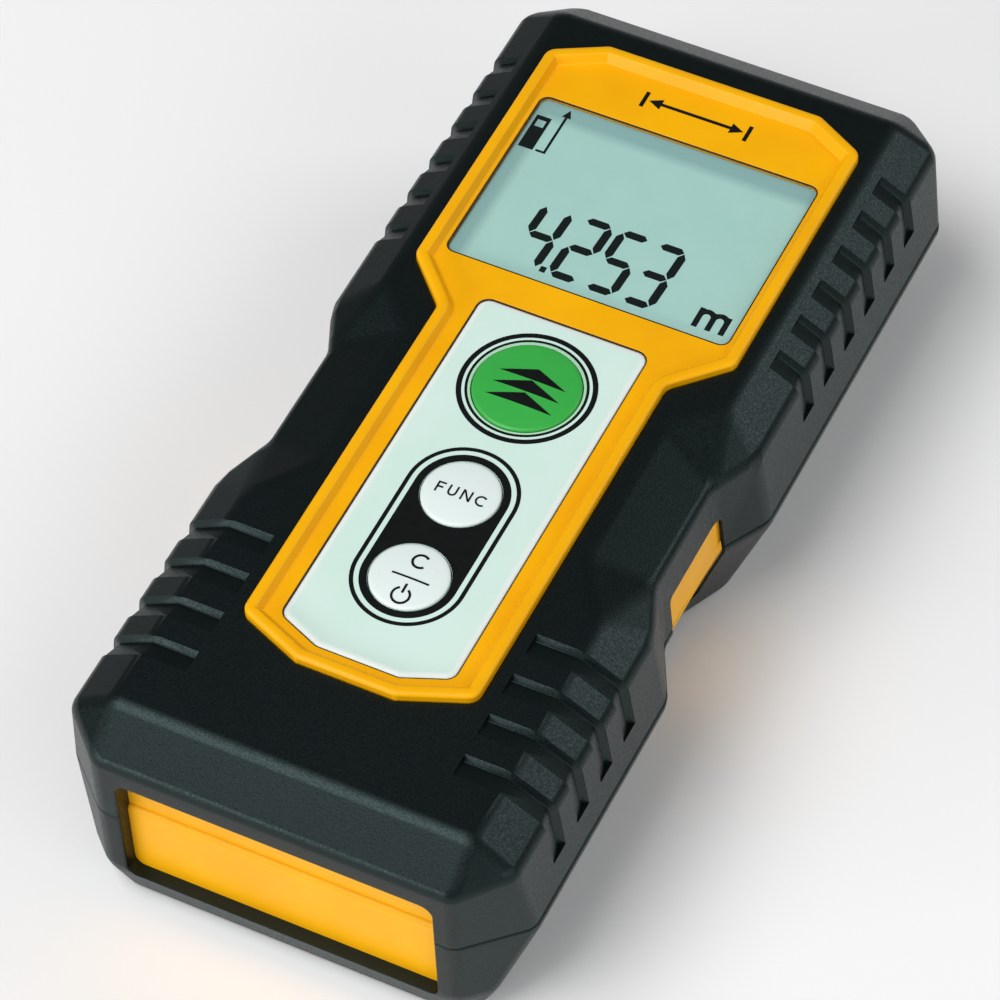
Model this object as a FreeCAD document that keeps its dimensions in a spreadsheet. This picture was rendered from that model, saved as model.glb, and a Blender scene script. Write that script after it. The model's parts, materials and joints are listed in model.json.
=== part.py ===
import FreeCAD, Part
import Sketcher
import math
import os
import re
from types import SimpleNamespace

# Handheld laser distance meter. Millimetres, origin at the centre of the base, +Y towards the
# laser end, +Z up out of the display. The driving sizes are in the sheet; the rest follows.

SIZES = {
    # whole object
    "body_width": 51.0,
    "body_length": 110.0,
    "body_height": 27.0,
    "parting_z": 13.8,
    # grip outline, front half: sides, shoulders and flat top of the soft skin
    "front_inset": 0.1,
    "front_draft": 1.2,
    "grip_step": 0.8,
    "shoulder_drop": 2.8,
    "waist_shoulder_drop": 2.4,
    "end_shoulder_drop": 3.9,
    "shoulder_width": 4.7,
    "end_shoulder_length": 4.95,
    "corner_width": 4.8,
    "corner_slope": 0.94,
    "waist_depth": 3.1,
    "waist_draft": 0.6,
    "waist_shoulder_width": 7.05,
    # where the sides run into the waist, along Y, at the shoulder and on the flat top
    "grip_near_y": -19.5,
    "waist_near_y": -13.5,
    "waist_far_y": -0.55,
    "grip_far_y": 5.0,
    "top_grip_near_y": -22.3,
    "top_waist_near_y": -15.25,
    "top_waist_far_y": 2.8,
    "top_grip_far_y": 8.0,
    # grip outline, rear half
    "lip_height": 0.8,
    "base_width": 41.0,
    "base_waist_width": 35.6,
    "base_corner_width": 2.8,
    "base_end_inset": 1.4,
    "end_taper_z": 4.6,
    # walls
    "skin": 1.6,
    "end_skin": 2.1,
    "shell_wall": 1.6,
    "fit_gap": 0.05,
    # windows through the skin
    "end_window_width": 34.4,
    "end_window_low_z": 3.5,
    "end_window_high_z": 19.3,
    "end_window_corner": 1.3,
    "side_window_near_y": -11.4,
    "side_window_far_y": 0.1,
    "side_window_low_z": 4.0,
    "side_window_high_z": 18.5,
    "land_gap": 0.25,
    "base_window_width": 30.2,
    "base_window_margin": 2.7,
    "base_recess": 0.8,
    # grip pockets in the skin
    "pocket_length": 2.2,
    "pocket_depth": 0.55,
    "pocket_lip": 0.08,
    "head_pocket_pitch": 5.16,
    "head_pocket_from_end": 12.15,
    "head_pocket_inner_x": 20.9,
    "head_pocket_low_z": 18.5,
    "tail_pocket_pitch": 5.23,
    "tail_pocket_from_end": 13.1,
    "tail_pocket_inner_x": 14.45,
    "tail_pocket_low_z": 17.5,
    # bezel of the front shell
    "rim_height": 1.0,
    "rim_width": 1.9,
    "rim_chamfer": 0.3,
    "bezel_width": 36.28,
    "bezel_neck_width": 25.74,
    "bezel_near_y": -38.57,
    "bezel_far_y": 47.16,
    "bezel_neck_near_y": 7.31,
    "bezel_neck_far_y": 12.64,
    "bezel_near_cut_x": 7.47,
    "bezel_near_cut_y": 3.02,
    "bezel_far_cut_x": 5.88,
    "bezel_far_cut_y": 3.1,
    # display stack
    "window_width": 32.0,
    "window_near_y": 15.03,
    "window_far_y": 38.53,
    "window_thick": 0.4,
    "glass_thick": 1.3,
    "glass_margin": 0.4,
    "reflector_thick": 1.2,
    "reflector_near": 2.6,
    "holder_width": 35.2,
    "holder_margin": 2.1,
    "holder_pocket_depth": 0.9,
    "connector_width": 28.0,
    "connector_thick": 1.8,
    # keypad
    "keypad_width": 18.98,
    "keypad_near_y": -35.89,
    "keypad_far_y": 10.82,
    "keypad_cut_x": 4.98,
    "keypad_cut_y": 2.04,
    "keypad_thick": 1.0,
    "keypad_ledge": 1.5,
    "measure_y": 1.71,
    "measure_radius": 5.76,
    "function_y": -13.27,
    "clear_y": -24.64,
    "small_key_radius": 4.2,
    "key_gap": 0.12,
    "key_travel": 0.4,
    "key_proud": 0.2,
    "key_crown": 0.25,
    "key_flange": 0.8,
    "key_flange_thick": 0.7,
    "key_stem_radius": 2.0,
    "dome_radius": 3.0,
    "dome_height": 0.5,
    # main board
    "board_drop": 5.0,
    "board_thick": 1.6,
    "board_width": 34.0,
    "board_near_y": -42.5,
    "board_far_y": 42.5,
    "board_screw_x": 13.5,
    "board_screw_near_y": -38.0,
    "board_screw_far_y": 9.5,
    "board_boss_radius": 2.0,
    "board_screw_radius": 0.8,
    "board_screw_head": 1.6,
    "board_screw_length": 4.2,
    # housing screws
    "screw_x": 15.8,
    "screw_from_end": 8.2,
    "screw_boss_radius": 2.6,
    "screw_radius": 1.0,
    "screw_head_radius": 1.9,
    "screw_head_height": 1.5,
    "screw_seat_z": 6.0,
    "screw_length": 14.0,
    "screw_drive": 0.55,
    "screw_slot_share": 0.6,
    "screw_slot_width": 0.5,
    "small_head_height": 1.1,
    # battery bay, cells and contacts
    "cell_radius": 5.25,
    "cell_length": 44.5,
    "cell_nub_radius": 1.9,
    "cell_nub_length": 1.0,
    "cell_edge": 0.4,
    "cell_gap": 0.7,
    "cell_lift": 0.55,
    "bay_length": 48.0,
    "bay_side_gap": 0.75,
    "bay_wall": 1.2,
    "bay_roof_gap": 0.15,
    "bay_end_gap": 0.2,
    "contact_thick": 0.4,
    "contact_height": 8.0,
    "contact_width": 8.6,
    "spring_radius": 2.4,
    "spring_wire": 0.3,
    "spring_turns": 3.0,
    "spring_taper": 1.0,
    "wire_radius": 0.5,
    # battery door
    "door_thick": 1.5,
    "door_inset": 0.1,
    "door_gap": 0.1,
    "door_ledge": 0.8,
    "door_hinge_gap": 0.25,
    "door_pin_radius": 0.5,
    "door_pin_length": 1.0,
    "door_groove_count": 5,
    "door_groove_pitch": 1.6,
    "door_groove_width": 0.7,
    "door_groove_depth": 0.3,
    "door_groove_span": 12.0,
    "notch_width": 9.0,
    "notch_length": 0.7,
    "notch_depth": 0.9,
    # optics at the far end
    "optics_z": 11.5,
    "receiver_x": -5.5,
    "laser_x": 9.0,
    "panel_width": 31.0,
    "panel_height": 13.4,
    "panel_thick": 1.4,
    "panel_corner": 2.0,
    "receiver_hole_radius": 6.6,
    "laser_hole_radius": 2.2,
    "optics_port_width": 26.4,
    "optics_port_height": 13.4,
    "carrier_width": 25.2,
    "carrier_height": 12.6,
    "carrier_length": 22.8,
    "lens_radius": 6.0,
    "lens_edge": 1.6,
    "lens_crown": 1.0,
    "receiver_bore_radius": 5.4,
    "barrel_radius": 3.1,
    "barrel_bore_radius": 2.1,
    "barrel_length": 14.0,
    "barrel_from_front": 3.0,
    "collimator_radius": 2.05,
    "collimator_edge": 1.2,
    "collimator_crown": 0.6,
    "disc_thick": 0.84,
    "disc_inset": 0.28,
    "diode_radius": 2.7,
    "diode_can_radius": 1.8,
    "diode_flange": 1.15,
    "diode_length": 3.4,
    "receiver_board_thick": 1.2,
    "sensor_radius": 2.3,
    "sensor_length": 2.6,
    "filter_radius": 5.3,
    "filter_thick": 1.0,
    "lug_width": 4.4,
    "lug_length": 5.0,
    "lug_thick": 2.0,
    "lug_z": 9.0,
    "lug_from_rear": 5.4,
    "flex_width": 9.0,
    "flex_thick": 0.2,
    "flex_tail": 1.5,
    # seal in the parting face
    "seal_inset": 0.4,
    "seal_width": 0.8,
    "seal_height": 0.5,
}

SHEET = "Sizes"
VERTICAL = FreeCAD.Vector(0, 0, 1)
FORWARD = FreeCAD.Vector(0, 1, 0)
FACE_TOLERANCE = 1e-4
TOOL_REACH = 10.0    # how far a cutting tool runs past the faces that it opens

# How far an edge of the facets moves for each millimetre that its side moves in, so that
# the walls between two nested outlines stay about as thick on the slopes as on the sides.
CORNER_SHIFT = 0.5
SHOULDER_SHIFT = 0.5
WAIST_SHIFT = 0.7
END_SHIFT = 0.25
TOP_SHIFT = 0.7
WAIST_TOP_SHIFT = 0.85

# Points of a shallow crown, as shares of its radius and of its rise.
CROWN = ((0.8, 0.5), (0.45, 0.87))

document = FreeCAD.newDocument("laser_distance_meter")
parts = []


# ---------------------------------------------------------------- sheet and helpers

def make_sheet():
    """Put every driving size in a cell of its own, under its alias."""
    sheet = document.addObject("Spreadsheet::Sheet", SHEET)
    for row, (name, value) in enumerate(SIZES.items(), start=1):
        sheet.set(f"A{row}", name)
        sheet.set(f"B{row}", str(value))
        sheet.setAlias(f"B{row}", name)
    document.recompute()
    return sheet


sheet = make_sheet()
size = SimpleNamespace(**{name: float(sheet.get(name)) for name in SIZES})


def formula(text):
    """Turn size names in a formula into references to the sheet."""
    return re.sub(r"[a-z_]+", lambda word: f"{SHEET}.{word.group()}"
                  if word.group() in SIZES else word.group(), str(text))


def place(item, x="0", y="0", z="0"):
    """Bind an object's position to formulas."""
    for axis, text in (("x", x), ("y", y), ("z", z)):
        item.setExpression(f"Placement.Base.{axis}", formula(text))
    return item


def finish(item, label):
    """Name an object as a sub-part that gets its own file."""
    item.Label = label
    parts.append(item)
    return item


def shape_part(label, shape):
    """A sub-part whose faceted shape no sketch plane can hold."""
    item = document.addObject("Part::Feature", label)
    item.Shape = shape
    item.Placement = FreeCAD.Placement()
    return finish(item, label)


def box(x, y, z, length, width, height, name="block"):
    """A box from its low corner; the sizes are formulas."""
    item = document.addObject("Part::Box", name)
    for key, text in (("Length", length), ("Width", width), ("Height", height)):
        item.setExpression(key, formula(text))
    return place(item, x, y, z)


def cylinder(x, y, z, radius, height, name="round"):
    """An upright cylinder from the centre of its lower face."""
    item = document.addObject("Part::Cylinder", name)
    item.setExpression("Radius", formula(radius))
    item.setExpression("Height", formula(height))
    return place(item, x, y, z)


def join(label, items):
    """One solid from pieces that touch."""
    item = document.addObject("Part::MultiFuse", label)
    item.Shapes = items
    return item


def group(label, items):
    """Several loose solids that share a node."""
    item = document.addObject("Part::Compound", label)
    item.Links = items
    return item


# ---------------------------------------------------------------- sketch helpers

def new_body(label):
    return document.addObject("PartDesign::Body", label)


def new_sketch(body, plane="XY_Plane", offset="0"):
    """A sketch on one of the body's own origin planes, lifted off it by a formula."""
    support = next(p for p in body.Origin.OriginFeatures if p.Role == plane)
    sketch = body.newObject("Sketcher::SketchObject", body.Name + "_sketch")
    sketch.AttachmentSupport = [(support, "")]
    sketch.MapMode = "FlatFace"
    sketch.setExpression("AttachmentOffset.Base.z", formula(offset))
    return sketch


def pin_point(sketch, line, end, start_place, x, y):
    """Hold a point of the sketch at two distances from its origin."""
    for kind, start, text in (("DistanceX", start_place.x, x), ("DistanceY", start_place.y, y)):
        index = sketch.addConstraint(Sketcher.Constraint(kind, -1, 1, line, end, start))
        sketch.setExpression(f"Constraints[{index}]", formula(text))


def draw_outline(sketch, corners):
    """A closed outline with straight sides; each corner is a pair of formulas."""
    count = len(corners)
    turn = 2 * math.pi / count
    start = [FreeCAD.Vector(9 * math.cos(turn * i), 9 * math.sin(turn * i), 0)
             for i in range(count)]
    first = sketch.GeometryCount
    for i in range(count):
        sketch.addGeometry(Part.LineSegment(start[i], start[(i + 1) % count]))
    for i in range(count):
        following = first + (i + 1) % count
        sketch.addConstraint(Sketcher.Constraint("Coincident", first + i, 2, following, 1))
    for i, (x, y) in enumerate(corners):
        pin_point(sketch, first + i, 1, start[i], x, y)


def draw_rectangle(sketch, low_x, low_y, high_x, high_y):
    draw_outline(sketch, [(low_x, low_y), (high_x, low_y), (high_x, high_y), (low_x, high_y)])


def draw_circle(sketch, x, y, radius):
    """A circle held by its centre and radius."""
    centre = FreeCAD.Vector(1, 1, 0)
    line = sketch.addGeometry(Part.Circle(centre, VERTICAL, 1.0))
    pin_point(sketch, line, 3, centre, x, y)
    index = sketch.addConstraint(Sketcher.Constraint("Radius", line, 1.0))
    sketch.setExpression(f"Constraints[{index}]", formula(radius))


def pad(body, sketch, length, backwards=False):
    feature = body.newObject("PartDesign::Pad", body.Name + "_pad")
    feature.Profile = sketch
    feature.setExpression("Length", formula(length))
    feature.Reversed = backwards
    return feature


def pocket(body, sketch, depth, backwards=False):
    feature = body.newObject("PartDesign::Pocket", body.Name + "_pocket")
    feature.Profile = sketch
    feature.setExpression("Length", formula(depth))
    feature.Reversed = backwards
    return feature


def turn_round(body, corners):
    """Turn an outline, given as (radius, height) formulas, a full turn about its axis."""
    sketch = new_sketch(body, "XZ_Plane")
    draw_outline(sketch, corners)
    turned = body.newObject("PartDesign::Revolution", body.Name + "_turn")
    turned.Profile = sketch
    turned.ReferenceAxis = (sketch, ["V_Axis"])
    turned.Angle = 360.0


def crown(radius, low, rise):
    """Outline points of a shallow dome, from near its edge to its middle."""
    slope = [(f"{radius} * {out}", f"{low} + {rise} * {up}") for out, up in CROWN]
    return slope + [("0", f"{low} + {rise}")]


def plate(label, outline, low, thick):
    """A flat plate with a straight-sided outline, its lower face at the formula low."""
    body = new_body(label)
    sketch = new_sketch(body, "XY_Plane", low)
    draw_outline(sketch, outline)
    pad(body, sketch, thick)
    return finish(body, label)


def pierce(body, draw, offset, depth, plane="XY_Plane"):
    """Cut what draw puts in a sketch, downwards from the offset."""
    sketch = new_sketch(body, plane, offset)
    draw(sketch)
    return pocket(body, sketch, depth)


# ---------------------------------------------------------------- faceted outline of the body

def ring(half, waist, end, corner, z_side, z_waist, z_end, marks):
    """One closed loop of the faceted body, counter-clockwise from the near right corner."""
    near, waist_near, waist_far, far = marks
    run = (half - corner) * size.corner_slope
    right = [(corner, -end, z_end), (half, run - end, z_side), (half, near, z_side),
             (waist, waist_near, z_waist), (waist, waist_far, z_waist), (half, far, z_side),
             (half, end - run, z_side), (corner, end, z_end)]
    left = [(-x, y, z) for x, y, z in reversed(right)]
    return [FreeCAD.Vector(*point) for point in right + left]


def side_marks():
    return (size.grip_near_y, size.waist_near_y, size.waist_far_y, size.grip_far_y)


def top_marks():
    return (size.top_grip_near_y, size.top_waist_near_y, size.top_waist_far_y,
            size.top_grip_far_y)


def front_rings(side=0.0, end=0.0, top=0.0):
    """Loops of the front half, moved inwards by a thickness for its sides, ends and top."""
    half = size.body_width / 2 - size.front_inset - side
    waist = half - size.waist_depth
    length = size.body_length / 2 - end
    shoulder = half - size.front_draft
    corner = shoulder - size.corner_width + side * CORNER_SHIFT
    grip_top = size.body_height - size.grip_step
    low_shoulder = grip_top - size.shoulder_drop - side * SHOULDER_SHIFT
    low_waist = grip_top - size.waist_shoulder_drop - side * WAIST_SHIFT
    low_end = grip_top - size.end_shoulder_drop - side * END_SHIFT
    top_z = grip_top - top
    top_half = shoulder - size.shoulder_width + side * TOP_SHIFT
    top_waist = waist - size.waist_draft - size.waist_shoulder_width + side * WAIST_TOP_SHIFT
    top_end = length - size.end_shoulder_length + end * TOP_SHIFT
    return [
        ring(half, waist, length, corner, size.parting_z, size.parting_z, size.parting_z,
             side_marks()),
        ring(shoulder, waist - size.waist_draft, length, corner, low_shoulder, low_waist,
             low_end, side_marks()),
        ring(top_half, top_waist, top_end, top_half, top_z, top_z, top_z, top_marks()),
    ]


def rear_rings(side=0.0, end=0.0, base=0.0):
    """Loops of the rear half, from the base up to the parting face."""
    half = size.body_width / 2 - side
    waist = half - size.waist_depth - size.front_inset
    length = size.body_length / 2 - end
    lip_z = size.parting_z - size.lip_height
    corner = (half - size.front_inset - size.front_draft - size.corner_width
              + side * CORNER_SHIFT)

    def level(z, inset):
        rise = z / lip_z
        base_half = size.base_width / 2 - side
        base_waist = size.base_waist_width / 2 - side
        wide = base_half + (half - base_half) * rise
        narrow = base_waist + (waist - base_waist) * rise
        return ring(wide, narrow, length - inset, min(corner, wide - size.base_corner_width),
                    z, z, z, side_marks())

    taper = size.end_taper_z
    end_inset = size.base_end_inset * (taper - base) / taper
    rim = ring(half, waist, length, corner, lip_z, lip_z, lip_z, side_marks())
    top = [FreeCAD.Vector(point.x, point.y, size.parting_z) for point in rim]
    return [level(base, end_inset), level(taper, 0.0), rim, top]


def polygon_face(points):
    return Part.Face(Part.makePolygon(points + [points[0]]))


def side_faces(lower, upper):
    """Flat faces between two loops; a bent quad becomes two triangles on its short diagonal."""
    faces = []
    count = len(lower)
    for i in range(count):
        j = (i + 1) % count
        quad = [lower[i], lower[j], upper[j], upper[i]]
        corners = [p for k, p in enumerate(quad) if not p.isEqual(quad[k - 1], FACE_TOLERANCE)]
        if len(corners) < 3:
            continue
        normal = (corners[1] - corners[0]).cross(corners[2] - corners[0]).normalize()
        if all(abs(normal.dot(p - corners[0])) < FACE_TOLERANCE for p in corners):
            faces.append(polygon_face(corners))
        elif lower[j].distanceToPoint(upper[i]) < lower[i].distanceToPoint(upper[j]):
            faces.append(polygon_face([lower[i], lower[j], upper[i]]))
            faces.append(polygon_face([lower[j], upper[j], upper[i]]))
        else:
            faces.append(polygon_face([lower[i], lower[j], upper[j]]))
            faces.append(polygon_face([lower[i], upper[j], upper[i]]))
    return faces


def facet_solid(rings):
    """A closed solid whose skin runs from loop to loop, with flat ends."""
    faces = [polygon_face(list(reversed(rings[0])))]
    for lower, upper in zip(rings, rings[1:]):
        faces += side_faces(lower, upper)
    top = [p for k, p in enumerate(rings[-1]) if not p.isEqual(rings[-1][k - 1], FACE_TOLERANCE)]
    faces.append(polygon_face(top))
    shell = Part.makeShell(faces)
    shell.sewShape()
    solid = Part.makeSolid(shell)
    if solid.Volume < 0:
        solid.reverse()
    return solid


def block(low, high):
    """A plain box shape between two corners, as a tool."""
    return Part.makeBox(*[b - a for a, b in zip(low, high)], FreeCAD.Vector(*low))


def both_sides(shape):
    """A shape with its mirror image across the middle plane."""
    return shape.fuse(shape.mirror(FreeCAD.Vector(), FreeCAD.Vector(1, 0, 0)))


def prism(points, low_z, high_z):
    """An upright prism over a flat outline."""
    face = polygon_face([FreeCAD.Vector(x, y, low_z) for x, y in points])
    return face.extrude(VERTICAL * (high_z - low_z))


def mirrored(points):
    """Close a half outline, given from near to far on the right, with its left half."""
    return points + [(-x, y) for x, y in reversed(points)]


def end_window():
    """Opening through both end faces of the skin, with round corners."""
    half = size.end_window_width / 2
    reach = size.body_length / 2 + TOOL_REACH
    tool = block((-half, -reach, size.end_window_low_z), (half, reach, size.end_window_high_z))
    lengthwise = [e for e in tool.Edges if abs(e.tangentAt(e.FirstParameter).y) > 0.9]
    return tool.makeFillet(size.end_window_corner, lengthwise)


def side_window():
    """Openings through the skin at the waist, one a side."""
    inner = size.body_width / 4
    outer = size.body_width / 2 + TOOL_REACH
    return both_sides(block((inner, size.side_window_near_y, size.side_window_low_z),
                            (outer, size.side_window_far_y, size.side_window_high_z)))


def base_window_outline(gap=0.0):
    """Where the rear shell shows in the middle of the base."""
    half = size.base_window_width / 2 - gap
    end = size.body_length / 2 - size.base_end_inset - size.base_window_margin - gap
    return mirrored([(half, -end), (half, end)])


def screw_places():
    end = size.body_length / 2 - size.screw_from_end
    return [(x, y) for x in (-size.screw_x, size.screw_x) for y in (-end, end)]


def board_screw_places():
    ys = (size.board_screw_near_y, size.board_screw_far_y)
    return [(x, y) for x in (-size.board_screw_x, size.board_screw_x) for y in ys]


def lug_places():
    """Middles of the two lugs that hold the optics carrier down."""
    x = size.carrier_width / 2 + size.lug_width / 2
    y = carrier_front_y() - size.carrier_length + size.lug_from_rear
    return [(-x, y), (x, y)]


def post(x, y, radius, low_z, high_z):
    return Part.makeCylinder(radius, high_z - low_z, FreeCAD.Vector(x, y, low_z))


# ---------------------------------------------------------------- soft skins

def surface_section(inner_x, low_z, depth):
    """Skin section for a grip pocket: floor points at a depth, then points outside the body."""
    half = size.body_width / 2 - size.front_inset
    shoulder = half - size.front_draft
    top_z = size.body_height - size.grip_step
    top_half = shoulder - size.shoulder_width
    shoulder_z = top_z - size.shoulder_drop
    lean = size.front_draft / (shoulder_z - size.parting_z)
    low_x = shoulder + lean * (shoulder_z - low_z)
    if inner_x < top_half:
        floor = [(inner_x, top_z - depth), (top_half - depth / 3, top_z - depth)]
    else:
        slope = size.shoulder_drop / size.shoulder_width
        floor = [(inner_x, top_z - slope * (inner_x - top_half) - depth)]
    floor += [(shoulder - depth, shoulder_z - depth / 2), (low_x - depth, low_z)]
    outside = [(half + TOOL_REACH, low_z), (half + TOOL_REACH, top_z + TOOL_REACH),
               (inner_x, top_z + TOOL_REACH)]
    return floor + outside


def pocket_tool(far_y, inner_x, low_z):
    """One grip pocket: a steep far wall, and a floor that ramps out towards the near end."""
    def section(y, depth):
        return [FreeCAD.Vector(x, y, z) for x, z in surface_section(inner_x, low_z, depth)]

    return facet_solid([section(far_y, size.pocket_depth),
                        section(far_y - size.pocket_length, size.pocket_lip)])


def grip_pockets():
    """All pockets on both sides: six at the head, four at the tail."""
    head_y = size.body_length / 2 - size.head_pocket_from_end
    tail_y = -size.body_length / 2 + size.tail_pocket_from_end
    rows = [(head_y - i * size.head_pocket_pitch, size.head_pocket_inner_x,
             size.head_pocket_low_z) for i in range(6)]
    rows += [(tail_y + i * size.tail_pocket_pitch, size.tail_pocket_inner_x,
              size.tail_pocket_low_z) for i in range(4)]
    return [both_sides(pocket_tool(*row)) for row in rows]


def bezel_outline():
    """Outer edge of the bezel: wide round the display, narrow round the keypad."""
    wide = size.bezel_width / 2
    neck = size.bezel_neck_width / 2
    return mirrored([
        (neck - size.bezel_near_cut_x, size.bezel_near_y),
        (neck, size.bezel_near_y + size.bezel_near_cut_y),
        (neck, size.bezel_neck_near_y),
        (wide, size.bezel_neck_far_y),
        (wide, size.bezel_far_y - size.bezel_far_cut_y),
        (wide - size.bezel_far_cut_x, size.bezel_far_y),
    ])


def make_front_overmould():
    skin = facet_solid(front_rings())
    skin = skin.cut(facet_solid(front_rings(size.skin, size.end_skin, size.skin)))
    bezel = prism(bezel_outline(), size.parting_z, size.body_height + TOOL_REACH)
    skin = skin.cut([bezel, end_window(), side_window()])
    skin = skin.cut(grip_pockets())
    shape_part("front_overmould", skin)


def make_rear_overmould():
    skin = facet_solid(rear_rings())
    skin = skin.cut(facet_solid(rear_rings(size.skin, size.end_skin, size.skin)))
    base = prism(base_window_outline(), -TOOL_REACH, size.parting_z)
    holes = [post(x, y, size.screw_head_radius + size.land_gap, -TOOL_REACH, size.parting_z)
             for x, y in screw_places()]
    skin = skin.cut([base, end_window(), side_window()] + holes)
    shape_part("rear_overmould", skin)


# ---------------------------------------------------------------- rigid shells

def waist_land(envelope):
    """Raised land of a shell that fills the side windows almost flush with the skin."""
    inner = size.body_width / 4
    outer = size.body_width / 2
    gap = size.fit_gap
    return envelope.common(both_sides(block(
        (inner, size.side_window_near_y + gap, size.side_window_low_z + gap),
        (outer, size.side_window_far_y - gap, size.side_window_high_z - gap))))


def optics_port():
    """Opening in the far end wall of both shells for the optics carrier."""
    half = size.optics_port_width / 2
    low_z = size.optics_z - size.optics_port_height / 2
    return block((-half, size.body_length / 2 - size.end_skin - size.shell_wall - TOOL_REACH,
                  low_z), (half, size.body_length / 2, low_z + size.optics_port_height))


def keypad_outline(margin=0.0):
    half = size.keypad_width / 2 - margin
    return mirrored([(half - size.keypad_cut_x, size.keypad_near_y + margin),
                     (half, size.keypad_near_y + size.keypad_cut_y + margin),
                     (half, size.keypad_far_y - margin)])


def bezel_solid(plate_z):
    """Plate inside the bezel, with the raised rim round it."""
    low_z = size.body_height - size.grip_step - size.skin - size.shell_wall
    full = prism(bezel_outline(), low_z, size.body_height)
    crest = [e for e in full.Edges if min(v.Z for v in e.Vertexes) > plate_z]
    full = full.makeChamfer(size.rim_chamfer, crest)
    inner = Part.makePolygon([FreeCAD.Vector(x, y, plate_z) for x, y in
                              bezel_outline() + [bezel_outline()[0]]])
    inner = inner.makeOffset2D(-size.rim_width, 2)
    return full.cut(Part.Face(inner).extrude(VERTICAL * TOOL_REACH))


def holder_room():
    """Room under the front shell for the display holder, up to its top."""
    high_z = (size.body_height - size.rim_height - size.window_thick - size.glass_thick
              - size.reflector_thick - 4 * size.fit_gap + size.holder_pocket_depth)
    half = size.holder_width / 2 + size.fit_gap
    margin = size.holder_margin + size.fit_gap
    return block((-half, size.window_near_y - margin, size.parting_z),
                 (half, size.window_far_y + margin, high_z))


def make_front_shell():
    plate_z = size.body_height - size.rim_height
    inside = size.skin + size.shell_wall
    inner_top = size.body_height - size.grip_step - inside
    board_top = plate_z - size.board_drop
    shell = facet_solid(front_rings(size.skin, size.end_skin, size.skin))
    land = waist_land(facet_solid(front_rings(size.land_gap, size.end_skin, size.skin)))
    shell = shell.fuse([bezel_solid(plate_z), land])
    shell = shell.cut(facet_solid(front_rings(inside, size.end_skin + size.shell_wall, inside)))
    posts = [post(x, y, size.screw_boss_radius, size.parting_z, inner_top + size.fit_gap)
             for x, y in screw_places()]
    posts += [post(x, y, size.board_boss_radius, board_top, inner_top + size.fit_gap)
              for x, y in board_screw_places()]
    shell = shell.fuse(posts)
    screw_tip = size.screw_seat_z + size.screw_length
    holes = [post(x, y, size.screw_radius + size.fit_gap, size.parting_z,
                  screw_tip + size.fit_gap) for x, y in screw_places()]
    holes += [post(x, y, size.board_screw_radius + size.fit_gap, board_top,
                   board_top - size.board_thick + size.board_screw_length + size.fit_gap)
              for x, y in board_screw_places()]
    window_half = size.window_width / 2 + size.fit_gap
    window = block((-window_half, size.window_near_y - size.fit_gap, size.parting_z),
                   (window_half, size.window_far_y + size.fit_gap,
                    size.body_height + TOOL_REACH))
    recess = prism(keypad_outline(-size.fit_gap), plate_z - size.keypad_thick,
                   size.body_height + TOOL_REACH)
    opening = prism(keypad_outline(size.keypad_ledge), size.parting_z, plate_z)
    shell = shell.cut(holes + [window, recess, opening, optics_port(), holder_room()])
    shell = shell.cut([post(0, getattr(size, place_y), getattr(size, radius) + size.key_flange
                            + size.key_gap, size.parting_z, plate_z - size.keypad_thick)
                       for place_y, radius in KEYS.values()])
    shape_part("front_shell", shell)


def bay_places():
    """Near and far inner faces of the battery bay along Y."""
    near = (-size.body_length / 2 + size.end_skin + size.shell_wall + size.bay_end_gap
            + size.bay_wall)
    return near, near + size.bay_length


def cell_offset():
    return size.cell_radius + size.cell_gap / 2


def bay_half():
    return cell_offset() + size.cell_radius + size.bay_side_gap


def bay_roof():
    """Underside of the bay's roof, over the cells."""
    return cell_z() + size.cell_radius + size.bay_roof_gap


def cell_z():
    return size.base_recess + size.door_inset + size.door_thick + size.cell_lift \
        + size.cell_radius


def seal_band(height):
    """Band that follows the parting face of the shells and stops at the optics carrier."""
    outer = rear_rings(size.skin + size.seal_inset, size.end_skin + size.seal_inset)[-1]
    step = size.seal_inset + size.seal_width
    inner = rear_rings(size.skin + step, size.end_skin + step)[-1]
    band = polygon_face(outer).cut(polygon_face(inner)).extrude(VERTICAL * -height)
    return band.cut(optics_port())


def battery_bay(floor_z):
    """Walled bay with a roof, and the space for the cells inside it."""
    near, far = bay_places()
    roof_z = bay_roof()
    half = bay_half()
    wall = size.bay_wall
    outer = block((-half - wall, near - wall, floor_z), (half + wall, far + wall, roof_z + wall))
    inner = block((-half, near, floor_z - TOOL_REACH), (half, far, roof_z))
    return outer, inner


def door_cuts():
    """Recess of the battery door, the opening inside its ledge, pin bores and finger notch."""
    near, far = bay_places()
    half = bay_half() + size.door_ledge
    seat_z = size.base_recess + size.door_inset + size.door_thick + size.fit_gap
    recess = block((-half, near, 0), (half, far, seat_z))
    axis_y, axis_z = hinge_place()
    bore = Part.makeCylinder(
        size.door_pin_radius + size.fit_gap,
        2 * (half + size.door_pin_length + size.fit_gap),
        FreeCAD.Vector(-half - size.door_pin_length - size.fit_gap, axis_y, axis_z),
        FreeCAD.Vector(1, 0, 0))
    notch = block((-size.notch_width / 2, near - size.notch_length, 0),
                  (size.notch_width / 2, near, size.base_recess + size.notch_depth))
    return recess, bore, notch


def hinge_place():
    """Y and Z of the battery door's pivot."""
    far = bay_places()[1]
    barrel = size.door_thick / 2
    return far - size.door_hinge_gap - barrel, size.base_recess + size.door_inset + barrel


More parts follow.
